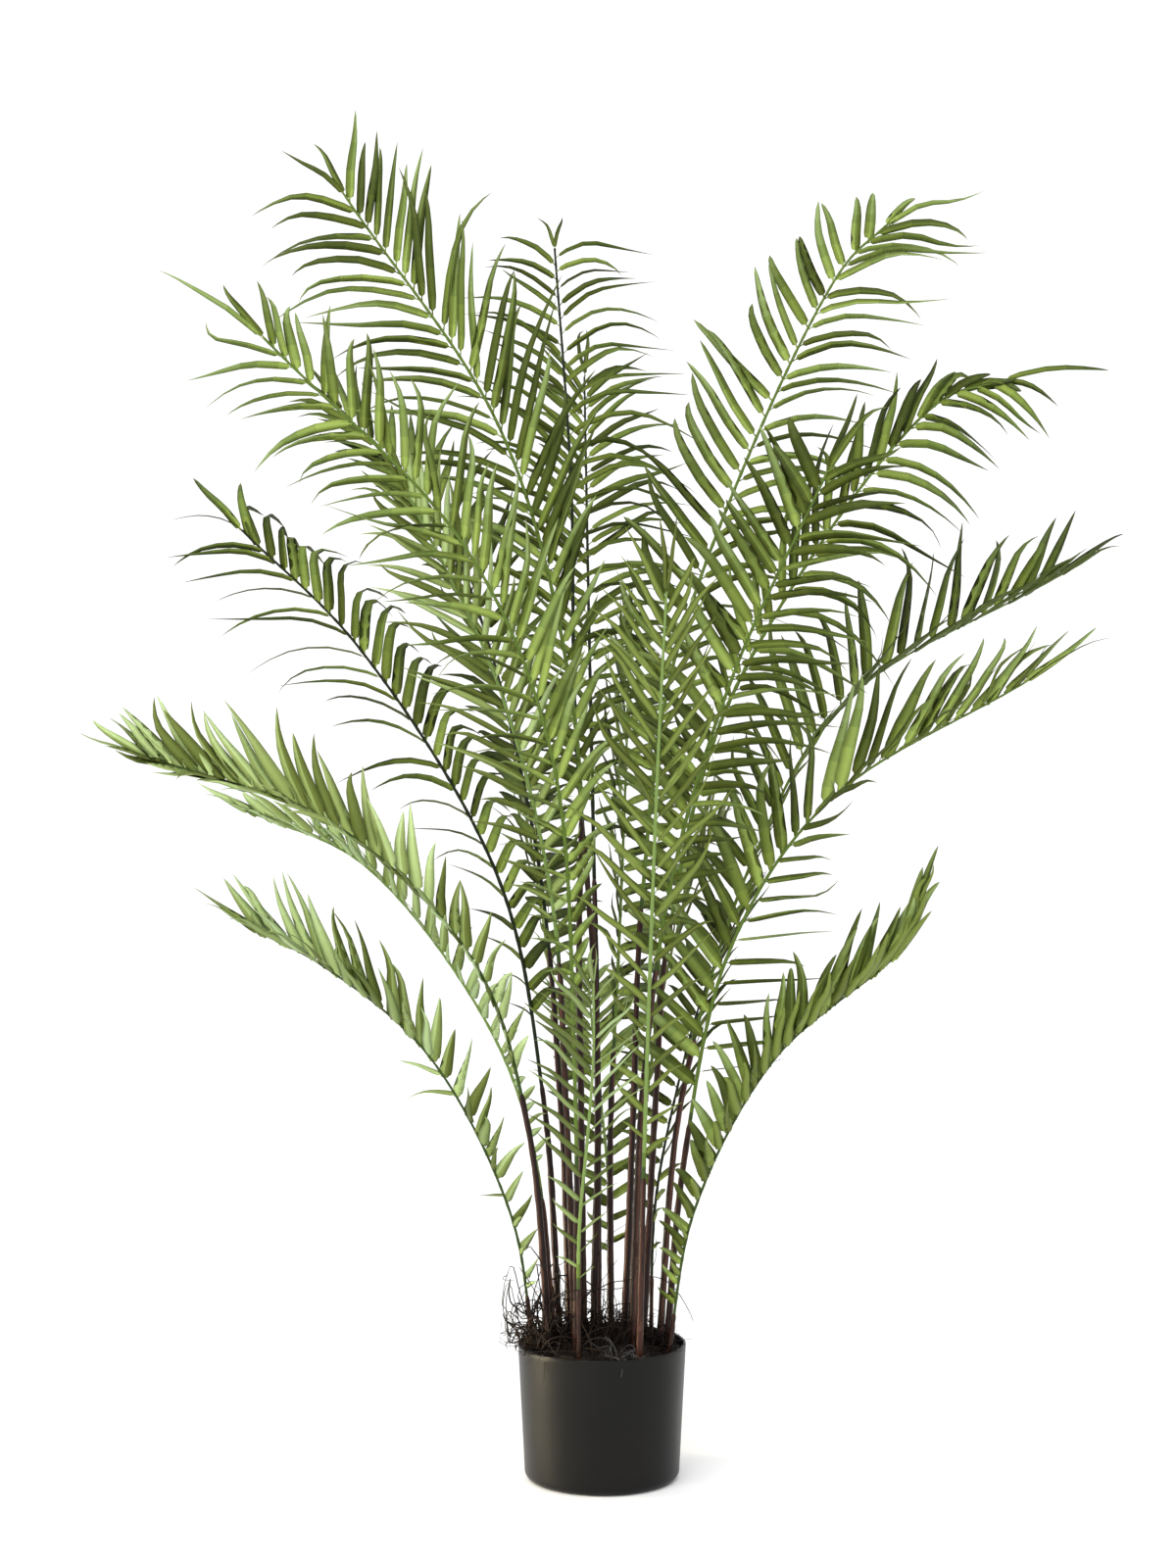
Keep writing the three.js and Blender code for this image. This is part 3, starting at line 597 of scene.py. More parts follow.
@dataclass(frozen=True)
class Frond:
    """One frond: the line of its rib, how its blade faces, and its two rows of leaflets.

    Attributes:
        name: Its nodes are stem_NAME and frond_NAME.
        tone: Lightness of its leaflets, partly the cloth's own and partly painted light and shade.
        wire: Colour of its rib.
        stem: Share of the rib's length that is the brown stem.
        leafy: Share of the rib's length where leaflets start.
        rib: Foot on the fill, points passed on the way and tip, in millimetres.
        face: The way the blade's upper side looks at its foot.
        left: The row on the left as seen from the face, with the tip up.
        right: The row on the right, where it differs.
        face_tip: The same as face at the tip, where it differs.
        short: Length of the leaflets at the blade's foot, as a share of the longest.
        whole: Share of the blade from which leaflets have their full length.
        opening: How much wider than the mean the spacing is at the blade's foot.
        spacing: Factor on the distance between pairs.
        thin: True for the slender fronds with no tube round their foot.
    """

    name: str
    tone: Tone
    wire: Wire
    stem: float
    leafy: float
    rib: tuple[tuple[float, ...], ...]
    face: tuple[float, float, float]
    left: Row
    right: Row | None = None
    face_tip: tuple[float, float, float] | None = None
    short: float = 0.34
    whole: float = 0.39
    opening: float = 0.15
    spacing: float = 1.0
    thin: bool = False


# Tones and shade levels here are partly painted light and shade: lit fronds and rows are drawn
# paler, shaded ones darker.
FRONDS = (
    Frond("low_left", Tone.PALE, Wire.DARK, 0.1, 0.13,
          ((-75, -10), (-100, -20, 295), (-190, -45, 475), (-300, -80, 574), (-363, -102, 611)),
          (0.8, -0.35, 0.7),
          Row((60, 20), (55, 50), 96, 0.05, width=1.15, sweep=0.04, fin=0.9, strays=0.16),
          Row((52, 30), (58, 52), 108, 0.05, width=1.2, sweep=0.04, fin=1.0, spacing=0.86,
              blunt=0.4), short=0.26, whole=0.75, opening=0.42, thin=True),
    Frond("reach_left", Tone.PALE, Wire.DARK, 0.33, 0.37,
          ((-57, -32), (-80, -55, 395), (-135, -90, 575), (-280, -155, 729), (-456, -235, 800)),
          (0.6, -0.5, 0.8),
          Row((40, 20), (30, 30), 112, 0.05, width=1.15, sweep=0.08, fin=0.6, spacing=0.85),
          Row((38, 26), (48, 48), 106, 0.05, width=1.2, sweep=0.14, fin=0.6, spacing=0.76,
              blunt=0.4), whole=0.6, opening=0.3),
    Frond("under_left", Tone.PALE, Wire.LIGHT, 0.22, 0.29,
          ((-53, 3), (-75, -5, 363), (-127, -15, 506), (-260, -35, 680), (-378, -55, 737)),
          (0.8, -0.2, 0.6), Row((70, 24), (40, 40), 70, 0.05, width=1.05, fin=0.3, dye=1),
          Row((72, 26), (40, 40), 72, 0.05, width=1.1, fin=0.3, dye=1), whole=0.8, opening=0.25),
    Frond("mid_left", Tone.DARK, Wire.BLACK, 0.28, 0.36,
          ((-47, 28), (-65, 30, 415), (-115, 35, 660), (-270, 50, 915), (-400, 58, 1045)),
          (-0.35, -1, 0),
          Row((22, 16), (12, 12), 138, 0.2, 50, width=0.65, sweep=0.42, end=0.55, short=0.2,
              spacing=1.1),
          Row((52, 44), (12, 6), 98, 0.03, width=1.05, arch=0.95, fin=0.3, spacing=0.72, blunt=0.8),
          short=0.5, whole=0.6, spacing=1.2),
    Frond("high_left", Tone.MID, Wire.GREEN, 0.17, 0.33,
          ((-28, -48), (-30, -65, 460), (-55, -105, 805), (-145, -145, 1020), (-344, -214, 1226)),
          (0.1, -1, 0), Row((56, 36), (26, 26), 136, 0.4, 50, width=0.75, end=1.05, dye=1),
          Row((34, 50), (24, 24), 128, 0.12, width=0.82, fade=0.45, sweep=-0.02, end=0.6, dye=1,
              spacing=0.9, blunt=0.6)),
    Frond("inner_left", Tone.PALE, Wire.LIGHT, 0.44, 0.47,
          ((-30, -20), (-40, -30, 435), (-55, -45, 645), (-110, -70, 870), (-205, -100, 1075)),
          (0, -1, 0.1), Row((50, 28), (28, 28), 130, 0.2, 15, width=0.66, dye=-1),
          Row((50, 28), (28, 28), 130, 0.2, 15, width=0.7), spacing=0.88),
    Frond("back_left", Tone.DARK, Wire.BLACK, 0.37, 0.42,
          ((-36, 48), (-45, 70, 385), (-80, 140, 715), (-185, 255, 1055), (-310, 330, 1200)),
          (0.5, -0.8, 0.4), Row((62, 34), (28, 28), 124, 0.3, 20, width=0.9),
          Row((62, 38), (28, 28), 124, 0.3, 20, width=0.9)),
    Frond("top_left", Tone.MID, Wire.GREEN, 0.43, 0.46,
          ((-20, 5), (-25, 10, 545), (-30, 25, 835), (-110, 40, 1150), (-285, 60, 1415)),
          (0.1, -1, 0),
          Row((34, 36), (24, 24), 158, 0.22, 45, width=0.75, sweep=0.26, end=0.55, gather=0.1),
          Row((30, 42), (20, 20), 162, 0.1, width=0.82, fade=0.5, sweep=0.02, end=0.44, gather=0,
              spacing=0.86, blunt=0.5)),
    Frond("top_centre", Tone.DARK, Wire.BLACK, 0.43, 0.46,
          ((-9, 28), (-5, 45, 475), (-30, 115, 840), (-35, 195, 1105), (-55, 300, 1390)),
          (0, -1, 0.1),
          Row((48, 44), (22, 22), 146, 0.4, 50, width=0.6, fade=0.4, sweep=0.16, end=0.34,
              gather=0, blunt=0.1),
          Row((50, 54), (22, 22), 164, 0.8, 55, width=0.58, fade=0.4, sweep=0.2, end=0.34,
              gather=0, blunt=0)),
    Frond("top_back", Tone.DARK, Wire.BLACK, 0.42, 0.46,
          ((-4, 60), (-5, 100, 455), (-10, 205, 740), (-15, 335, 985), (-20, 520, 1260)),
          (0.2, -0.9, 0.4), Row((62, 48), (26, 26), 146, 0.46, 30, width=0.66, blunt=0),
          Row((62, 50), (26, 26), 154, 0.5, 40, width=0.7, blunt=0)),
    Frond("top_right", Tone.MID, Wire.GREEN, 0.36, 0.4,
          ((25, 20), (35, 25, 405), (45, 40, 640), (85, 70, 915), (270, 130, 1340),
           (322, 140, 1393)),
          (-0.1, -1, 0),
          Row((62, 66), (22, 22), 126, 0.08, fade=0.6, sweep=-0.1, end=0.4, spacing=1.05,
              blunt=0.9),
          Row((46, 36), (24, 24), 140, 0.38, 48, width=0.7, fade=0.1, sweep=0.22, end=0.85,
              gather=0.6)),
    Frond("high_right", Tone.DARK, Wire.GREEN, 0.39, 0.42,
          ((45, -2), (60, -5, 435), (70, -10, 580), (140, -25, 860), (360, -50, 1176),
           (428, -54, 1198)),
          (-0.1, -1, 0),
          Row((56, 18), (24, 24), 126, 0.5, 20, width=0.8, fade=0.68, end=1.1, gather=0.5,
              blunt=0.6),
          Row((50, 36), (24, 24), 120, 0.5, 40, width=0.78, fade=0.5, sweep=0.15, end=0.5)),
    Frond("inner_right", Tone.MID, Wire.GREEN, 0.42, 0.45,
          ((33, -30), (45, -55, 450), (75, -105, 675), (135, -170, 885), (225, -260, 1090)),
          (-0.1, -1, 0),
          Row((56, 48), (26, 26), 124, 0.1, width=1.05, fade=0.2, gather=0.1, end=0.65, blunt=0.9),
          Row((60, 42), (26, 26), 142, 0.28, 30, width=0.85, fade=0.15, dye=-1, end=0.75),
          spacing=0.85),
    Frond("mid_right", Tone.DARK, Wire.GREEN, 0.32, 0.37,
          ((64, 28), (90, 40, 420), (170, 70, 680), (275, 100, 855), (521, 152, 996)),
          (-0.6, -0.3, 0.7),
          Row((54, 40), (55, 55), 138, 0.08, 30, width=1.1, fade=0.25, sweep=0.04, blunt=0.5),
          Row((54, 26), (15, 48), 112, 0.08, width=0.95, dye=2)),
    Frond("reach_right", Tone.MID, Wire.GREEN, 0.28, 0.34,
          ((71, -8), (90, -15, 355), (140, -35, 590), (245, -55, 750), (447, -96, 876)),
          (-0.1, -1, 0),
          Row((54, 36), (35, 35), 138, 0.08, width=1.25, fade=0.25, sweep=0.03, fin=0.5, blunt=0.6),
          Row((68, 44), (-15, 62), 130, 0.06, 50, width=0.55, fade=0.5, dye=-1),
          face_tip=(-0.5, -0.1, 0.9), short=0.8),
    Frond("low_right", Tone.MID, Wire.DARK, 0.08, 0.11,
          ((72, -36), (100, -50, 305), (185, -85, 475), (312, -142, 596), (323, -146, 622)),
          (-0.8, -0.35, 0.6),
          Row((58, 28), (60, 60), 108, 0.05, width=1.15, fin=0.8, spacing=0.75, gather=0.5,
              blunt=0.7),
          Row((52, 24), (62, 62), 100, 0.05, width=1.1, fin=0.8, dye=1, spacing=0.8, gather=0.5,
              blunt=0.7), short=0.22, whole=0.75, opening=0.2, thin=True),
    Frond("centre_front", Tone.MID, Wire.LIGHT, 0.22, 0.26,
          ((40, -60), (45, -80, 375), (50, -145, 590), (55, -250, 795), (60, -380, 965)),
          (0, 0.8, 0.5), Row((58, 30), (26, 26), 122, 0.12, width=0.65, dye=1),
          Row((58, 32), (26, 26), 118, 0.12, width=0.7, dye=1), spacing=1.2),
    Frond("low_front", Tone.PALE, Wire.LIGHT, 0.15, 0.18,
          ((-25, -72), (-25, -100, 285), (-15, -180, 415), (-10, -260, 500), (-10, -360, 585)),
          (0, 0.7, 0.7), Row((56, 38), (24, 24), 84, 0.1, 70, width=0.3),
          Row((66, 42), (28, 28), 90, 0.1, 20, width=0.6, dye=-1),
          short=0.3, spacing=1.15, thin=True),
    Frond("back_right", Tone.DARK, Wire.BLACK, 0.12, 0.17,
          ((55, 52), (60, 75, 285), (85, 130, 405), (120, 200, 515), (170, 280, 610)),
          (-0.6, -0.5, 0.5), Row((68, 40), (26, 26), 90, 0.15, width=0.8), thin=True),
    Frond("back_centre", Tone.DARK, Wire.GREEN, 0.36, 0.4,
          ((10, 42), (10, 70, 375), (20, 150, 570), (30, 280, 780), (35, 400, 930)),
          (0.8, -0.5, 0.4), Row((64, 38), (24, 24), 118, 0.25, width=0.85)),
    Frond("rear_left", Tone.MID, Wire.GREEN, 0.3, 0.35,
          ((-28, 70), (-40, 110, 375), (-65, 215, 575), (-90, 345, 715), (-105, 470, 790)),
          (0.9, -0.3, 0.35), Row((64, 36), (24, 24), 124, 0.2)),
    Frond("rear_right", Tone.MID, Wire.GREEN, 0.3, 0.35,
          ((32, 66), (45, 105, 350), (75, 200, 530), (115, 320, 650), (150, 440, 700)),
          (-0.9, -0.3, 0.35), Row((64, 36), (24, 24), 120, 0.2)),
    Frond("rear_low", Tone.MID, Wire.LIGHT, 0.14, 0.19,
          ((10, 80), (10, 110, 275), (0, 185, 385), (-10, 275, 460), (-15, 370, 510)),
          (0, -0.5, 0.8), Row((68, 40), (25, 25), 95, 0.12), thin=True),
)


@dataclass(frozen=True)
class Mound:
    """The planting fill's upper side: highest in the middle, falling to the pot's wall."""

    radius: float = 88.0
    crown: float = 155.0
    edge: float = 141.0

    def height(self, distance: Array) -> Array:
        """Height at a distance from the middle, falling with its square, in millimetres."""
        return mix(self.crown, self.edge, np.minimum(distance / self.radius, 1.0) ** 2)


MOUND = Mound()
STEM_FOOT = 4.1  # Radius of a stem at the fill, in millimetres.
SEAT_GAP = 0.3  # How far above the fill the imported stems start.


class RibLine:
    """The smooth line of a rib, by shares of its length."""

    SAMPLES = 160

    def __init__(self, frond: Frond) -> None:
        """Works out the line, a smooth curve through the frond's points.

        The piece from point b to point c is a cubic whose end slopes come from the spacing of
        a, b, c and d, each interval being the square root of a distance. The points beyond
        both ends are mirror images of their neighbours.

        Args:
            frond: The frond whose rib it is.
        """
        foot_x, foot_y = frond.rib[0]
        rest = float(MOUND.height(np.hypot(foot_x, foot_y) - STEM_FOOT)) + SEAT_GAP
        knots = np.array([(foot_x, foot_y, rest), *frond.rib[1:]], float) * MM
        before, after = 2 * knots[0] - knots[1], 2 * knots[-1] - knots[-2]
        padded = np.vstack([before, knots, after])
        steps = np.sqrt(np.linalg.norm(np.diff(padded, axis=0), axis=1))
        t = np.linspace(0, 1, self.SAMPLES, endpoint=False)[:, None]
        line = []
        for i in range(len(knots) - 1):
            a, b, c, d = padded[i:i + 4]
            ab, bc, cd = steps[i:i + 3]
            slope_b = ((b - a) / ab - (c - a) / (ab + bc) + (c - b) / bc) * bc
            slope_c = ((c - b) / bc - (d - b) / (bc + cd) + (d - c) / cd) * bc
            square = -3 * b + 3 * c - 2 * slope_b - slope_c
            cube = 2 * b - 2 * c + slope_b + slope_c
            line.append(b + slope_b * t + square * t**2 + cube * t**3)
        self.points = np.vstack([*line, knots[-1]])
        lengths = np.linalg.norm(np.diff(self.points, axis=0), axis=1)
        self.reached = np.concatenate([[0], np.cumsum(lengths)])
        self.length = float(self.reached[-1])
        self.face = unit(np.array(frond.face, float))
        self.face_tip = unit(np.array(frond.face_tip or frond.face, float))
        self.frond = frond

    def shares(self, start: float, end: float, step: float) -> Array:
        """Shares of the length from start to end, about a step in millimetres apart."""
        return np.linspace(start, end, math.ceil((end - start) * self.length / (step * MM)) + 1)

    def point(self, shares: Array) -> Array:
        """Places along the line; beyond its ends it runs straight on.

        Args:
            shares: Shares of the length.

        Returns:
            The places, with one more axis.
        """
        asked = np.asarray(shares, float) * self.length
        inside = np.clip(asked, 0, self.length)
        place = np.stack([np.interp(inside, self.reached, self.points[:, k]) for k in range(3)], -1)
        first = unit(self.points[1] - self.points[0])
        last = unit(self.points[-1] - self.points[-2])
        place += np.minimum(asked, 0)[..., None] * first
        return place + np.maximum(asked - self.length, 0)[..., None] * last

    def frames(self, shares: Array) -> Frames:
        """Places and directions at shares of the length.

        Along is the line's tangent, out is the facing with its part along the line taken away,
        and across is at right angles to both.

        Args:
            shares: Shares of the length, N.

        Returns:
            The frames.
        """
        shares = np.asarray(shares, float)
        reach = 1 * MM / self.length
        along = unit(self.point(shares + reach) - self.point(shares - reach))
        face = mix(self.face, self.face_tip, np.clip(shares, 0, 1)[:, None])
        out = unit(face - along * dot(face, along))
        return Frames(self.point(shares), along, out, np.cross(along, out))


@dataclass(frozen=True)
class Scatter:
    """How far the leaflets of a row differ: mostly standard deviations, ranges where two stand.

    Angles are in degrees. The rest are shares: place of the spacing; sweep, stray, ripple and
    step of the leaflet's length; the others of their own mean.
    """

    place: tuple[float, float] = (-0.14, 0.14)
    splay: float = 3.6
    lift: float = 6.0
    length: float = 0.06
    droop: float = 0.15
    sweep: float = 0.05
    arch: float = 0.15
    stray: float = 0.45
    ripple: tuple[float, float] = (0.002, 0.018)
    twist: float = 8.0
    curl: float = 20.0
    width: float = 0.08
    fold: tuple[float, float] = (0.5, 1.4)
    step: float = 0.08


@dataclass(frozen=True)
class Leaflets:
    """Cuts, bends and creases the leaflets of a frond; lengths in millimetres.

    Attributes:
        spacing: Mean distance between pairs along the rib.
        width: Width of a long leaflet.
        slender: Widest a short leaflet gets, as a share of its length.
        crease: Depth of the fold along the middle, as a share of half the width.
        thickness: Thickness of the cloth at the fold.
        closing: Share of the blade from which the splay is lost.
        folding: Share of the blade up to which leaflets fold over backwards.
        fold_way: Where the fold leads: up, along the leaflet and towards its underside.
        shaped: Share of a leaflet from which a blunt one is broader.
        blunting: How much of the outline's power a blunt one loses there.
        end_splay: Angle to the rib of the leaflet that goes on from its tip.
        end_width: Factor on that one's width.
        stray_fall: How many degrees those that have come down hang lower.
        stray_width: Factor on their width.
        outline: Cross sections: share of the length, share of the width of a ribbon and a fin.
        steps: How many colours there are from root to tip.
        shades: Lightness of the painted light and shade that leaflets and their halves come in: lit
            and shaded copies of one colour.
        odds: How often each shade level comes.
        stagger: How far left leaflets sit before a pair's place and right ones after it.
        curl: Mean turn in degrees that the twist gains from root to tip.
        scatter: How far leaflets differ.
    """

    spacing: float = 21.5
    width: float = 11.6
    slender: float = 0.24
    crease: float = 0.34
    thickness: float = 0.45
    closing: float = 0.8
    folding: float = 0.94
    fold_way: tuple[float, float, float] = (0.2, 0.4, -0.8)
    shaped: float = 0.3
    blunting: float = 0.65
    end_splay: float = 7.0
    end_width: float = 0.75
    stray_fall: float = 80.0
    stray_width: float = 0.4
    outline: tuple[tuple[float, float, float], ...] = (
        (0.0, 0.2, 0.5), (0.045, 0.16, 0.7), (0.065, 0.8, 0.95), (0.15, 1.0, 1.05),
        (0.36, 1.0, 0.88), (0.53, 0.88, 0.68), (0.68, 0.64, 0.46), (0.82, 0.34, 0.25),
        (0.93, 0.13, 0.1),
    )
    steps: int = 5
    # Painted light and shade: lit and shaded copies of each colour, and how often each comes.
    shades: tuple[float, ...] = (0.45, 0.95, 1.55)
    odds: tuple[float, ...] = (0.3, 0.45, 0.25)
    stagger: float = 0.25
    curl: float = 8.0
    scatter: Scatter = Scatter()

    def reach(self, frond: Frond, kind: Row, v: Array) -> Array:
        """Leaflet length along the blade: short at its foot, then whole, less at the tip.

        It grows evenly from short to 1 up to the share called whole. Over the last 0.4 of the
        blade it loses fade times the share of that stretch to the power 1.5.

        Args:
            frond: The frond.
            kind: The row.
            v: Shares of the blade.

        Returns:
            Shares of the longest leaflet.
        """
        short = frond.short if kind.short is None else kind.short
        grown = np.minimum(1, short + (1 - short) * v / frond.whole)
        return grown * (1 - kind.fade * np.maximum(0, (v - 0.6) / 0.4) ** 1.5)

    def row(self, line: RibLine, side: int, random: np.random.Generator) -> Skin:
        """One row of leaflets, the last of which goes on from the rib's tip.

        A leaflet's middle line is root + L * (direction * u + (sweep - droop) * u^2 - arch *
        u^6), for u from 0 to 1, with the droop scaled by how level the leaflet starts; it
        ripples slightly and its last third strays a little. Its cross section is a flat V of
        cloth that is turned about the middle line by the twist. Its outer part's width is
        raised to the power 1 - blunting * blunt, which keeps the tip broader.

        Args:
            line: The rib's line.
            side: -1 for the left row and 1 for the right one.
            random: Source of the small differences between leaflets.

        Returns:
            The row's closed leaflets.
        """
        frond, off = line.frond, self.scatter
        kind = frond.left if side < 0 else frond.right or frond.left
        start = frond.leafy * line.length
        reach = line.length - start
        spacing = self.spacing * frond.spacing * kind.spacing * MM
        count = round(reach / (spacing * (1 + 0.4 * frond.opening))) + 1
        v = np.arange(count) / (count - 1)
        shift = (self.stagger * side + random.uniform(*off.place, count)) * spacing
        places = start + reach * v * (1 + frond.opening * (1 - v)) + shift
        places[-1] = line.length
        frames = line.frames(places / line.length)

        last = v == 1
        closing = 1 - kind.gather * np.maximum(0, (v - self.closing) / (1 - self.closing))
        splay = mix(*kind.splay, v) * closing + random.normal(0, off.splay, count)
        splay = np.radians(np.where(last, self.end_splay, splay))[:, None]
        lift = mix(*kind.lift, v) + random.normal(0, off.lift, count)
        fallen = random.random(count) < kind.strays
        lift = np.radians(np.where(fallen, lift - self.stray_fall, lift))[:, None]
        lateral = side * np.cos(lift) * frames.across + np.sin(lift) * frames.out
        direction = np.cos(splay) * frames.along + np.sin(splay) * lateral
        back = -np.sin(splay) * frames.along + np.cos(splay) * lateral
        under = side * np.sin(lift) * frames.across - np.cos(lift) * frames.out
        length = kind.leaf * MM * self.reach(frond, kind, v)
        length *= random.normal(1, off.length, count)
        length = np.where(last, kind.leaf * MM * kind.end, length)
        droop = kind.droop * random.normal(1, off.droop, count)

        u, ribbon, fin = np.array(self.outline).T
        share = mix(ribbon, fin, kind.fin)
        share = np.where(u > self.shaped, share ** (1 - self.blunting * kind.blunt), share)
        size = length[:, None, None]
        level = np.hypot(direction[:, 0], direction[:, 1])[:, None, None]
        sag = droop[:, None, None] * level * UP
        sweep = (kind.sweep + random.normal(0, off.sweep, (count, 1, 1))) * back[:, None]
        arch = kind.arch * random.normal(1, off.arch, (count, 1, 1))
        arch *= (v < self.folding)[:, None, None]
        up, on, down = self.fold_way
        fold_back = arch * (up * UP + on * direction[:, None] + down * under[:, None])
        stray = random.normal(0, off.stray, (count, 1, 3))
        phase = random.uniform(0, 2 * math.pi, (count, 1, 1))
        ripple = random.uniform(*off.ripple, (count, 1, 1)) * under[:, None]

        def line_at(w: Array) -> Array:
            """Places on the leaflets' middle lines.

            Args:
                w: Shares of their length.

            Returns:
                Leaflets by shares by three.
            """
            bent = direction[:, None] * w + (sweep - sag) * w**2 - fold_back * w**6
            late = stray * np.maximum(w - 0.6, 0) ** 2
            return frames.centre[:, None] + size * (bent + late + ripple * np.sin(9 * w + phase))

        at = u[None, :, None]
        middle = line_at(at)
        heading = unit(line_at(at + 0.02) - line_at(at - 0.02))

        turn = kind.twist + random.normal(0, off.twist + 0.15 * kind.twist, count)
        curl = random.normal(self.curl, off.curl, count)
        turn = np.radians(side * (turn[:, None] + curl[:, None] * u))[..., None]
        wide = unit(back[:, None] - heading * dot(back[:, None], heading))
        deep = unit(np.cross(heading, wide))
        deep *= np.sign(dot(deep, under[:, None]))
        wide, deep = (
            np.cos(turn) * wide + np.sin(turn) * np.cross(heading, wide),
            np.cos(turn) * deep + np.sin(turn) * np.cross(heading, deep),
        )

        full = kind.width * np.minimum(self.width * MM, self.slender * length)
        full *= np.where(last, self.end_width, 1) * np.where(fallen, self.stray_width, 1)
        half = ((full * random.normal(1, off.width, count))[:, None] * share / 2)[..., None]
        fold = self.crease * half * random.uniform(*off.fold, count)[:, None, None]
        cloth = self.thickness * MM * np.minimum(1, 0.35 + share)[None, :, None]
        rings = np.stack([
            middle - wide * half, middle + deep * fold,
            middle + wide * half, middle + deep * (fold + cloth),
        ], 2)
        tip = line_at(np.ones((1, 1, 1)))[:, 0]
        return Skin.around(
            rings, frames.centre, tip, self.plan(half, u, length, random),
            self.colours(u, count, kind.dye, random),
        )

    def plan(self, half: Array, u: Array, length: Array, random: np.random.Generator) -> Array:
        """Each ring corner's place on the flattened cloth, in centimetres.

        Across, it lies half the width to either side of the fold, plus the leaflet's offset;
        along, it is the length times u.

        Args:
            half: Half widths, leaflets by rings by one, in metres.
            u: Shares of the length of the rings.
            length: Lengths of the leaflets, in metres.
            random: Source of the cloth's offset from leaflet to leaflet.

        Returns:
            Leaflets by rings by five by two.
        """
        side = np.array([-1.0, 0.0, 1.0, 0.0, -1.0])
        offset = random.uniform(0, 40, len(length))[:, None, None]
        along = (length[:, None] * u)[..., None] * CM_PER_M
        return np.stack(np.broadcast_arrays(half * side * CM_PER_M + offset, along), -1)

    def colours(self, u: Array, count: int, offset: int, random: np.random.Generator) -> Array:
        """Finish numbers: the painted shade level of each half, lit or shaded like the two sides of
        a fold, the step from root to tip, or the underside.

        Args:
            u: Shares of the length of the rings.
            count: Number of leaflets.
            offset: Steps of painted light and shade that are added to every shade level, below 0
                for darker ones.
            random: Source of the shade levels.

        Returns:
            Leaflets by rings - 1 by four.
        """
        middle = (u[:-1] + u[1:]) / 2 + random.normal(0, self.scatter.step, (count, 1))
        step = np.clip((middle * self.steps).astype(int), 0, self.steps - 1)
        shade_levels = len(self.shades)
        # Painted light and shade: each leaflet takes a lit or shaded copy of its colours.
        dye = random.choice(shade_levels, (count, 1), p=self.odds) + offset
        dye = np.clip(dye, 0, shade_levels - 1)
        # Painted light and shade on the fold: the second half is one level lighter or darker than
        # the first.
        other = np.clip(dye + random.choice((-1, 0, 1), (count, 1)), 0, shade_levels - 1)
        under = np.broadcast_to(shade_levels * self.steps + dye, step.shape)
        return np.stack([dye * self.steps + step, other * self.steps + step, under, under], -1)

    def finishes(self, tone: Tone) -> list[bpy.types.Material]:
        """The cloths of one tone, as lit and shaded copies that paint light and shade.

        Args:
            tone: The tone.

        Returns:
            Materials in the order of the finish numbers.
        """
        name = f"cloth_{tone.name.lower()}"
        made = {f"{name}_{dye}_{step}": PRINT_AND_SHADE[tone].at(step / (self.steps - 1), light)
                for dye, light in enumerate(self.shades) for step in range(self.steps)}
        made |= {f"{name}_under_{dye}": PRINT_AND_SHADE[tone].below(light)
                 for dye, light in enumerate(self.shades)}
        return [CLOTH.material(name, colour) for name, colour in made.items()]


def lit(colour: Iterable[float], light: float) -> Colour:
    """A colour with painted light or shade: made lighter or darker, and blue follows a little more
    steeply, so that lit copies look paler like a sheen.
    """
    red, green, blue = colour
    return (red * light, green * light, blue * light**1.6)


@dataclass(frozen=True)
class PrintAndShade:
    """Linear colours along a leaflet, and of its underside: partly the printed cloth and partly
    painted light and shade.
    """

    root: Colour
    middle: Colour
    tip: Colour
    under: Colour

    def at(self, share: float, light: float) -> Colour:
        """The colour at a share of the length: root to middle by one half, then to the tip."""
        stops = zip(self.root, self.middle, self.tip)
        return lit((float(np.interp(share, (0, 0.5, 1), stop)) for stop in stops), light)

    def below(self, light: float) -> Colour:
        """The underside's colour, darker than the top partly as painted shade, and lit or shaded in
        the same way.
        """
        return lit(self.under, light)


# Leaflet colours, partly the printed cloth and partly painted light and shade along the leaflet and
# on its underside.
PRINT_AND_SHADE: dict[Tone, PrintAndShade] = {
    Tone.PALE: PrintAndShade((0.325, 0.415, 0.12), (0.32, 0.41, 0.125), (0.365, 0.46, 0.165),
                   (0.225, 0.30, 0.10)),
    Tone.MID: PrintAndShade((0.198, 0.264, 0.042), (0.124, 0.173, 0.030), (0.176, 0.234, 0.062),
                  (0.105, 0.136, 0.018)),
    Tone.DARK: PrintAndShade((0.152, 0.200, 0.026), (0.099, 0.141, 0.019), (0.061, 0.085, 0.016),
                   (0.042, 0.058, 0.007)),
}

# Linear colours of the ribs' coat.
COATS: dict[Wire, Colour] = {
    Wire.LIGHT: (0.18, 0.27, 0.07),
    Wire.GREEN: (0.105, 0.165, 0.026),
    Wire.DARK: (0.04, 0.07, 0.015),
    Wire.BLACK: (0.010, 0.016, 0.006),
}


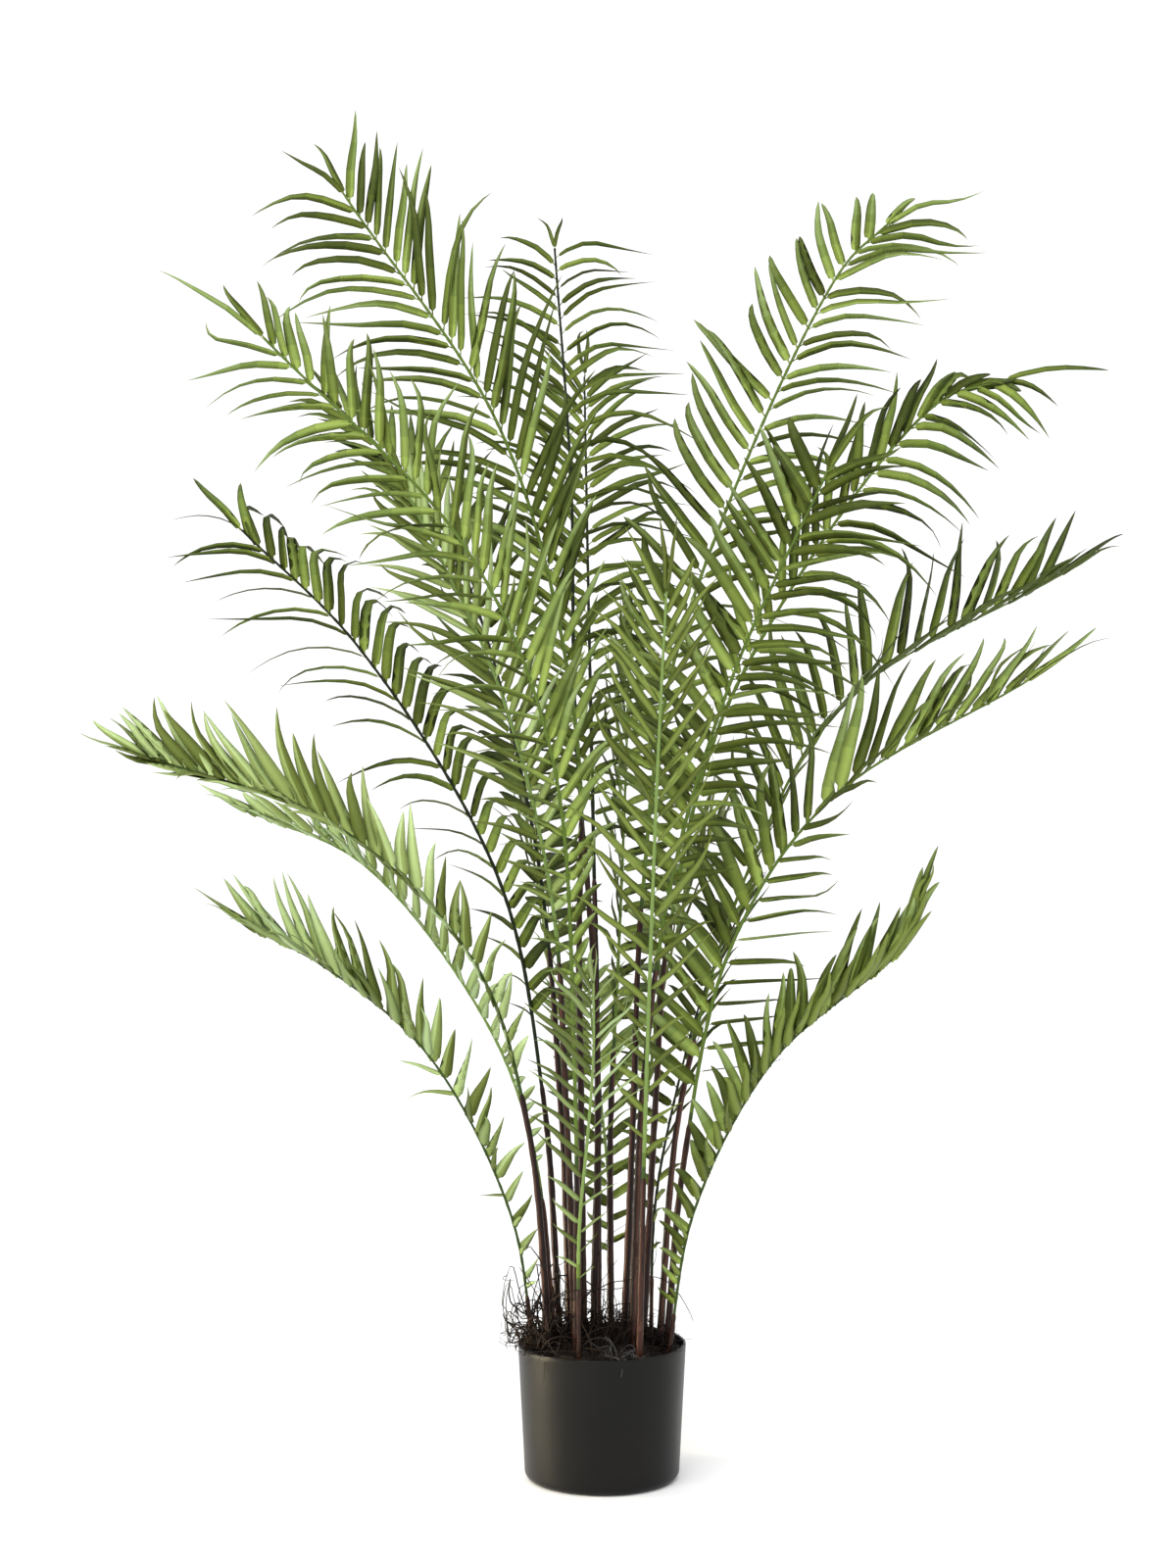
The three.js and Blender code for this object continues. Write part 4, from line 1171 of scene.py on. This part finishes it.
@dataclass(frozen=True)
class Ribs:
    """The coated wire of a blade, with a knuckle where each pair of leaflets is set in.

    Attributes:
        foot: Half its width at the blade's foot, in millimetres.
        tip: Half its width at the tip, in millimetres.
        slim: Factor on both for the slender fronds.
        inset: How far its foot is set into the stem.
        depth: Its depth as a share of its width.
        step: Distance between cross sections, in millimetres.
        sides: Corners of a cross section.
        knuckle: How much it swells at a pair of leaflets.
        worn: How far above the stem the foot's dark coat and its green coat end.
    """

    foot: float = 2.3
    tip: float = 1.25
    slim: float = 0.85
    inset: float = 14.0
    depth: float = 0.8
    step: float = 5.4
    sides: int = 8
    knuckle: float = 0.22
    worn: tuple[float, float] = (9.0, 26.0)

    def skin(self, line: RibLine) -> Skin:
        """The rib as a closed tube.

        Its radius falls evenly to the tip, times 1 + knuckle * cos^8 of half the angle that
        counts the leaflet pairs; inside the stem it shrinks to a half.

        Args:
            line: The rib's line.

        Returns:
            The closed tube.
        """
        frond = line.frond
        inset = self.inset * MM / line.length
        start = frond.stem - inset
        shares = line.shares(start, 1, self.step)
        v = (shares - start) / (1 - start)
        scale = self.slim if frond.thin else 1.0
        pairs = (shares - frond.leafy) * line.length / (LEAFLETS.spacing * MM)
        swell = np.cos(math.pi * pairs) ** 8 * (shares > frond.leafy)
        radius = mix(self.foot, self.tip, v) * scale * MM * (1 + self.knuckle * swell)
        radius *= np.clip((shares - start) / inset, 0.5, 1)
        height = (shares[:-1] - frond.stem) * line.length / MM
        worn = Wire.DARK.value - np.digitize(height, self.worn)
        numbers = np.maximum(frond.wire.value, worn)[None, :, None] * np.ones(self.sides, int)
        return line.frames(shares).tube(
            radius[:, None], self.depth, turns(self.sides) * self.foot * CM_PER_MM,
            (shares * line.length * CM_PER_M)[:, None], numbers)

    def finishes(self) -> list[bpy.types.Material]:
        """The coats in the order of their numbers."""
        return [COAT.material(f"coat_{wire.name.lower()}", COATS[wire]) for wire in Wire]


LEAFLETS = Leaflets()
RIBS = Ribs()


@dataclass(frozen=True)
class Stems:
    """The brown tubes, with shallow flutes, faint joints, an uneven wall and lengthwise streaks of
    painted highlight and shade.

    Attributes:
        ends: Radius at the fill and at the upper end, in millimetres.
        thin_ends: The same for the slender fronds.
        buried: How far the foot goes on below the fill's surface.
        step: Distance between cross sections.
        sides: Corners of a cross section.
        flutes: Number of flutes round a tube.
        flute: Depth of a flute.
        slant: How far flutes turn round the tube, in radians per millimetre.
        joint: Distance between joints.
        swell: How far a joint stands out.
        lip: How much thinner the upper end is, and over what length.
        uneven: Height and size of the waves in the wall.
        streak: Factor on heights that draws the streaks out along the tube.
        streak_shades: Linear browns of the streaks from dark to light, painted shade and highlight
            along the tubes.
        bands: Where one brown ends and the next begins, in the waves' unit.
    """

    ends: tuple[float, float] = (STEM_FOOT, 2.9)
    thin_ends: tuple[float, float] = (2.7, 2.3)
    buried: float = 9.0
    step: float = 5.0
    sides: int = 16
    flutes: int = 5
    flute: float = 0.16
    slant: float = 0.02
    joint: float = 68.0
    swell: float = 0.3
    lip: tuple[float, float] = (0.9, 2.5)
    uneven: tuple[tuple[float, float], ...] = ((0.22, 34.0), (0.1, 9.0))
    streak: float = 0.012
    streak_shades: tuple[Colour, ...] = (
        (0.0095, 0.0032, 0.0018), (0.020, 0.0070, 0.0040), (0.040, 0.0145, 0.0085),
        (0.080, 0.033, 0.021),
    )
    bands: tuple[float, ...] = (-0.55, 0.1, 0.75)

    def skin(self, line: RibLine, seed: int) -> Skin:
        """One stem as a closed tube.

        The radius falls evenly to the top. Added to it are flutes (a cosine round the tube),
        joints (a cosine along it to the power 24), waves in the wall and a rounded upper end.

        Args:
            line: The line of the stem and its rib.
            seed: Number that fixes the unevenness and the shade.

        Returns:
            The closed tube.
        """
        frond = line.frond
        shares = line.shares(-self.buried * MM / line.length, frond.stem, self.step)
        v = np.clip(shares / frond.stem, 0, 1)[:, None]
        angle = turns(self.sides)
        height = (shares * line.length / MM)[:, None]
        place = np.stack(np.broadcast_arrays(np.cos(angle) * 8, np.sin(angle) * 8, height), -1)
        radius = mix(*(self.thin_ends if frond.thin else self.ends), v)
        radius = radius - self.flute * np.cos(self.flutes * angle + self.slant * height + seed)
        radius += self.swell * np.cos(math.pi * (height + 7 * seed) / self.joint) ** 24
        for i, (rise, size) in enumerate(self.uneven):
            radius += rise * waves(place, size, seed + i)
        below_top = (1 - v) * line.length * frond.stem / MM
        radius -= self.lip[0] * np.exp(-((below_top / self.lip[1]) ** 2))
        # Painted highlight and shade: lengthwise waves pick a darker or lighter brown for each
        # face.
        light = waves(place * (1.0, 1.0, self.streak), 11.0, seed + 2)
        light += 0.25 * waves(place, 30.0, seed + 3)
        return line.frames(shares).tube(
            radius * MM, 1.0, angle * self.ends[0] * CM_PER_MM + 3 * seed, height * CM_PER_MM,
            np.digitize(light[None, :-1, :-1], self.bands))

    def build(self, lines: list[RibLine]) -> None:
        """Builds all the stems as one piece.

        Args:
            lines: The ribs' lines in the order of the fronds.
        """
        skins = [self.skin(line, 3 + i) for i, line in enumerate(lines)]
        finishes = [TUBE.material(f"stem_brown_{i}", brown)
                    for i, brown in enumerate(self.streak_shades)]
        Skin.joined(skins).build("stems", finishes, "stem",
                                 [f"stem_{frond.name}" for frond in FRONDS])


@dataclass(frozen=True)
class Crown:
    """All the blades of the plant."""

    seed: int = 20

    def build(self, lines: list[RibLine]) -> None:
        """Builds the leaflets and the ribs of each tone.

        Args:
            lines: The ribs' lines in the order of the fronds.
        """
        for tone in Tone:
            own = [(i, line) for i, line in enumerate(lines) if line.frond.tone is tone]
            nodes = [f"frond_{line.frond.name}" for _, line in own]
            name = tone.name.lower()
            rows = []
            for i, line in own:
                random = np.random.default_rng(self.seed + i)
                rows += [LEAFLETS.row(line, side, random) for side in (-1, 1)]
            Skin.joined(rows).build(
                f"leaflets_{name}", LEAFLETS.finishes(tone), tone.value, nodes)
            ribs = Skin.joined(RIBS.skin(line) for _, line in own)
            ribs.build(f"ribs_{name}", RIBS.finishes(), tone.value, nodes)


# Pot, fill and fibre.


@dataclass(frozen=True)
class Pot:
    """The plain round pot, in millimetres.

    Attributes:
        height: Underside to rim.
        rim: Outer radius at the rim.
        foot: Outer radius where the wall meets the rounded bottom edge.
        edge: Radius of the bottom edge.
        wall: Thickness of the wall.
        floor: Thickness of the floor.
        segments: Segments round the axis.
        plastics: Linear colours of the plastic as moulded and where it is worn.
    """

    height: float = 150.0
    rim: float = 92.5
    foot: float = 85.5
    edge: float = 10.0
    wall: float = 3.0
    floor: float = 4.0
    segments: int = 128
    plastics: tuple[Colour, Colour] = ((0.0036, 0.0034, 0.0032), (0.0062, 0.0059, 0.0055))

    def profile(self) -> Array:
        """Outline from the middle of the underside, over the rim, to the middle of the floor.

        Returns:
            Radii and heights, N by 2: a quarter turn at the bottom edge, straight walls and
            half a turn over the rim.
        """
        turn = np.linspace(0, math.pi / 2, 10)
        edge = np.stack([self.foot - self.edge * (1 - np.sin(turn)),
                         self.edge * (1 - np.cos(turn))], -1)
        rise = np.linspace(0, 1, 26)[1:-1, None]
        wall = mix(edge[-1], np.array([self.rim, self.height - 1.3]), rise)
        turn = np.linspace(0, math.pi, 9)
        half = self.wall / 2
        lip = np.stack([self.rim - half + half * np.cos(turn),
                        self.height - half + half * np.sin(turn)], -1)
        inside = self.foot - self.wall
        inner = mix(lip[-1], np.array([inside, self.edge + 4]), rise)
        base = [[inside - 3, self.floor + 3], [inside - 9, self.floor], [30, self.floor]]
        under = [[0, 0], [30, 0], [60, 0]]
        return np.vstack([under, edge, wall, lip, inner, base, [0, self.floor]])

    def build(self) -> None:
        """Builds the pot as one piece."""
        plastic = PLASTIC.material("pot_plastic", *self.plastics)
        turned(self.profile(), self.segments).build("pot_shell", [plastic], "pot", ["pot"])


@dataclass(frozen=True)
class Fill:
    """The crumbly fill inside the pot, a plug whose top is a lumpy mound, in millimetres.

    Attributes:
        side: Radii and heights from the middle of its underside up the wall.
        radius: Radii at the top's edge and next to its middle.
        lump: Height of its lumps.
        calm: Radius within which the lumps fade away.
        segments: Segments round the axis.
        rings: Rings from the wall to the middle.
        crumbs: Linear colours of the crumbs.
    """

    side: tuple[tuple[float, float], ...] = (
        (0.0, 6.0), (74.0, 6.0), (82.0, 20.0), (86.0, 80.0), (88.2, 130.0))
    radius: tuple[float, float] = (88.4, 1.0)
    lump: float = 2.6
    calm: float = 12.0
    segments: int = 120
    rings: int = 44
    crumbs: tuple[Colour, Colour] = ((0.003, 0.002, 0.0015), (0.016, 0.010, 0.007))

    def build(self) -> None:
        """Builds the fill as one piece; its lumps are waves of two sizes."""
        radius = np.linspace(*self.radius, self.rings)
        top = np.stack([radius, MOUND.height(radius)], -1)
        profile = np.vstack([self.side, top, [0, MOUND.crown]])
        angle = turns(self.segments)[:-1]
        ring = profile[1:-1, :1]
        places = ring[..., None] * np.stack([np.cos(angle), np.sin(angle)], -1)
        lumps = waves(places, 17.0, 4, 9) + 0.6 * waves(places, 7.0, 5, 9)
        on_top = (np.arange(len(ring)) >= len(self.side) - 1)[:, None]
        rise = self.lump * lumps * on_top * np.clip(ring / self.calm, 0, 1)
        crumbs = CRUMBS.material("planting_fill", *self.crumbs)
        turned(profile, self.segments, rise).build("planting_fill", [crumbs], "fill", ["fill"])


@dataclass(frozen=True)
class Tuft:
    """A patch of strands on the fill, in millimetres.

    Attributes:
        centre: Middle of the patch.
        spread: How far roots scatter from it, across and deep.
        count: Number of strands.
        length: Shortest and longest strand.
        lean: Main direction at the root.
        wild: How far directions at the root differ from it.
        bend: How far a strand curls from root to tip, in radians.
        sag: How far the heading sinks along a strand.
        radius: Half a strand's thickness at its root.
        tint: Number of the fibre's colour.
    """

    centre: tuple[float, float]
    spread: tuple[float, float]
    count: int
    length: tuple[float, float]
    lean: tuple[float, float, float]
    wild: float
    bend: float
    sag: float
    radius: float
    tint: int


@dataclass(frozen=True)
class Fibre:
    """Root-like strands that cover the fill and stand between the stems.

    Attributes:
        rings: Cross sections of a strand.
        sides: Corners of a cross section.
        rooted: Farthest root from the pot's axis, in millimetres.
        sunk: How far below the fill's surface they start.
        free: How far from the axis they spread freely.
        reach: How far from it they go.
        low: Least height over the fill, which rises between two distances from the axis.
        ramp: Those two distances.
        slope: How steeply it rises.
        kink: Strength of the kinks.
        slim: Thickness at the tip as a share of that at the root.
        tints: Linear colours.
        tufts: The patches.
    """

    rings: int = 22
    sides: int = 4
    rooted: float = 84.0
    sunk: float = 3.0
    free: float = 70.0
    reach: float = 116.0
    low: float = 138.0
    ramp: tuple[float, float] = (60.0, 84.0)
    slope: float = 0.62
    kink: float = 0.2
    slim: float = 0.35
    tints: tuple[Colour, ...] = (
        (0.007, 0.0045, 0.0032), (0.018, 0.011, 0.0075), (0.10, 0.098, 0.095),
        (0.050, 0.038, 0.030),
    )
    tufts: tuple[Tuft, ...] = (
        Tuft((-66, -30), (12, 18), 46, (110, 250), (-0.05, 0.0, 1.0), 0.25, 5.0, 0.0, 0.95, 1),
        Tuft((-68, -8), (10, 22), 46, (110, 270), (-0.05, 0.0, 1.0), 0.25, 5.4, 0.0, 1.0, 0),
        Tuft((-66, -34), (10, 14), 6, (60, 120), (-0.1, -0.2, 0.9), 0.4, 5.4, 0.2, 0.6, 3),
        Tuft((-62, -60), (8, 4), 5, (40, 60), (-0.1, -0.6, 0.6), 0.3, 1.8, 1.4, 0.6, 1),
        Tuft((12, -64), (18, 9), 16, (34, 70), (0.1, 0.0, 0.9), 0.8, 5.0, 0.5, 0.55, 2),
        Tuft((28, -78), (12, 3), 5, (22, 36), (0.3, -0.4, 0.6), 0.5, 3.6, 0.8, 0.5, 2),
        Tuft((-40, -10), (24, 34), 60, (24, 62), (0, 0, 1), 0.5, 2.0, 0.1, 0.7, 0),
        Tuft((0, 0), (30, 40), 90, (24, 66), (0, 0, 1), 0.45, 1.8, 0.1, 0.75, 0),
        Tuft((14, -10), (26, 30), 50, (24, 70), (0, 0, 1), 0.4, 1.8, 0.1, 0.7, 1),
        Tuft((40, 0), (20, 40), 50, (20, 60), (0, 0, 1), 0.5, 2.0, 0.1, 0.7, 0),
        Tuft((60, -12), (10, 24), 44, (40, 100), (0, 0, 1), 0.4, 4.6, 0.2, 0.7, 0),
        Tuft((58, -18), (10, 24), 10, (30, 70), (0, -0.1, 1), 0.5, 4.2, 0.4, 0.6, 1),
        Tuft((0, 0), (70, 70), 260, (14, 34), (0, 0, 0.5), 1.2, 2.0, 0.8, 0.6, 0),
    )

    def skin(self, tuft: Tuft, seed: int) -> Skin:
        """The strands of one patch.

        A strand's heading starts in its direction at the root and turns in a plane of its own
        by curl * (u + 0.2 sin(7 u + phase)), with a smaller swing out of that plane and a
        random walk for kinks, minus the upward direction times the sag times u. Its line is
        the running sum of the headings.

        Args:
            tuft: The patch.
            seed: Number that fixes the strands.

        Returns:
            The closed strands.
        """
        random = np.random.default_rng(seed)
        count = tuft.count
        spot = random.normal(size=(count, 2)) * tuft.spread * 0.6 + tuft.centre
        spot *= np.minimum(1, self.rooted / np.linalg.norm(spot, axis=1, keepdims=True))
        root = np.column_stack([spot, MOUND.height(np.linalg.norm(spot, axis=1)) - self.sunk])
        start = unit(np.array(tuft.lean) + tuft.wild * random.normal(size=(count, 3)) * 0.6)
        start[:, 2] = np.abs(start[:, 2])
        length = random.uniform(*tuft.length, count)[:, None, None]
        u = np.linspace(0, 1, self.rings)[None, :, None]
        plane = unit(np.cross(start, random.normal(size=(count, 3))))[:, None]
        beside = np.cross(start[:, None], plane)
        curl = tuft.bend * random.uniform(0.5, 1.4, (count, 1, 1))
        phase = random.uniform(0, 2 * math.pi, (count, 2, 1, 1))
        turn = curl * (u + 0.2 * np.sin(7 * u + phase[:, 0]))
        swing = 0.3 * tuft.bend * np.sin(5 * u + phase[:, 1]) * u
        kinks = self.kink * np.cumsum(random.normal(size=(count, self.rings, 3)), axis=1)
        heading = unit(np.cos(turn) * start[:, None] + np.sin(turn) * plane + swing * beside
                       + kinks - UP * tuft.sag * u)
        middle = self.held(root[:, None] + np.cumsum(heading, axis=1) * length / self.rings, tuft)
        first = unit(np.cross(heading, unit(random.normal(size=(count, 1, 3)))))
        second = np.cross(heading, first)
        radius = tuft.radius * mix(1.0, self.slim, u) * random.uniform(0.7, 1.3, (count, 1, 1))
        angle = turns(self.sides)[:-1, None]
        offset = np.cos(angle) * first[:, :, None] + np.sin(angle) * second[:, :, None]
        rings = (middle[:, :, None] + radius[..., None] * offset) * MM
        plan = np.stack(np.broadcast_arrays(
            np.arange(self.sides + 1) * 0.05, length * u * CM_PER_MM), -1)
        numbers = np.full((count, self.rings - 1, self.sides), tuft.tint)
        return Skin.around(rings, middle[:, 0] * MM, middle[:, -1] * MM, plan, numbers)

    def held(self, middle: Array, tuft: Tuft) -> Array:
        """Keeps strands near the pot, and above its rim unless they sag over it.

        Args:
            middle: Middle lines, strands by rings by three, in millimetres.
            tuft: The patch they belong to.

        Returns:
            The same lines with far points drawn in to the reach and low points lifted to a
            height that rises from the fill to just over the rim.
        """
        far = np.linalg.norm(middle[..., :2], axis=-1, keepdims=True)
        room = self.reach - self.free
        beyond = np.maximum(far - self.free, 0)
        nearer = np.minimum(far, self.free) + room * np.tanh(0.7 * beyond / room)
        height = middle[..., 2:]
        if tuft.sag < 0.5:
            rise = np.clip(far, *self.ramp) - self.ramp[0]
            height = np.maximum(height, self.low + self.slope * rise)
        return np.concatenate([middle[..., :2] * nearer / far, height], -1)

    def build(self) -> None:
        """Builds all the strands as one piece."""
        skins = [self.skin(tuft, 300 + i) for i, tuft in enumerate(self.tufts)]
        finishes = [STRAND.material(f"fibre_{i}", tint) for i, tint in enumerate(self.tints)]
        Skin.joined(skins).build("fibre_strands", finishes, "fibre",
                                 ["fibre_left", "fibre_right"])


# Studio.


def aimed(name: str, data: bpy.types.ID, place: Place, target: Place) -> bpy.types.Object:
    """A light or camera that looks from one place at another.

    Args:
        name: Its name.
        data: Its light or camera data.
        place: Where it is.
        target: What it looks at.

    Returns:
        The object.
    """
    piece = linked(name, data)
    piece.location = place
    way = Vector(target) - Vector(place)
    piece.rotation_euler = way.to_track_quat("-Z", "Y").to_euler()
    return piece


@dataclass(frozen=True)
class Softbox:
    """A rectangular soft light that looks at a point of the plant."""

    name: str
    place: Place
    target: Place
    size: tuple[float, float]
    power: float
    colour: Colour = (1.0, 1.0, 1.0)
    spread: float = 180.0

    def build(self) -> None:
        """Adds the light; the spread is the angle of its beam in degrees."""
        lamp = bpy.data.lights.new(self.name, "AREA")
        lamp.shape = "RECTANGLE"
        lamp.size, lamp.size_y = self.size
        lamp.energy = self.power
        lamp.color = self.colour
        lamp.spread = math.radians(self.spread)
        aimed(self.name, lamp, self.place, self.target)


@dataclass(frozen=True)
class Studio:
    """White floor, even white surroundings, soft lights and the camera."""

    floor_size: float = 60.0
    floor_white: Colour = (0.985, 0.985, 0.985)
    surround: float = 1.12
    softboxes: tuple[Softbox, ...] = (
        Softbox("key", (-1.2, -2.8, 3.2), (0, 0, 0.8), (3.2, 3.2), 84.0),
        Softbox("strip", (-1.5, 0.0, 0.12), (0, 0, 0.06), (0.45, 0.22), 1.5,
                (1.0, 0.86, 0.55), spread=24.0),
    )
    camera_place: Place = (-0.0154, -3.2, 0.890)
    camera_target: Place = (-0.0154, 0.0, 0.765)
    lens: float = 67.2

    def floor(self) -> None:
        """A wide pale floor just under the pot."""
        half = self.floor_size / 2
        mesh = bpy.data.meshes.new("floor")
        corners = [(-half, -half, 0), (half, -half, 0), (half, half, 0), (-half, half, 0)]
        mesh.from_pydata(corners, [], [(0, 1, 2, 3)])
        mesh.materials.append(PAPER.material("floor_white", self.floor_white))
        piece = linked("floor", mesh)

    def surroundings(self) -> None:
        """An even white world."""
        world = bpy.data.worlds.new("white_studio")
        world.use_nodes = True
        shader = world.node_tree.nodes["Background"]
        shader.inputs["Color"].default_value = (1.0, 1.0, 1.0, 1.0)
        shader.inputs["Strength"].default_value = self.surround
        bpy.context.scene.world = world

    def camera(self) -> None:
        """The camera, a little above the middle of the plant."""
        data = bpy.data.cameras.new("camera")
        data.lens = self.lens
        data.sensor_width = 36.0
        data.clip_end = 100.0
        bpy.context.scene.camera = aimed("camera", data, self.camera_place, self.camera_target)

    def build(self) -> None:
        """Sets up the studio."""
        self.floor()
        self.surroundings()
        self.camera()
        for softbox in self.softboxes:
            softbox.build()
        bpy.context.scene.view_settings.view_transform = "Standard"


def main() -> None:
    """Builds the pot, the plant and the studio."""
    logging.basicConfig(level=logging.INFO, format="%(name)s: %(message)s")
    lines = [RibLine(frond) for frond in FRONDS]
    Pot().build()
    Fill().build()
    Fibre().build()
    Stems().build(lines)
    Crown().build(lines)
    Studio().build()


if __name__ == "__main__":
    main()
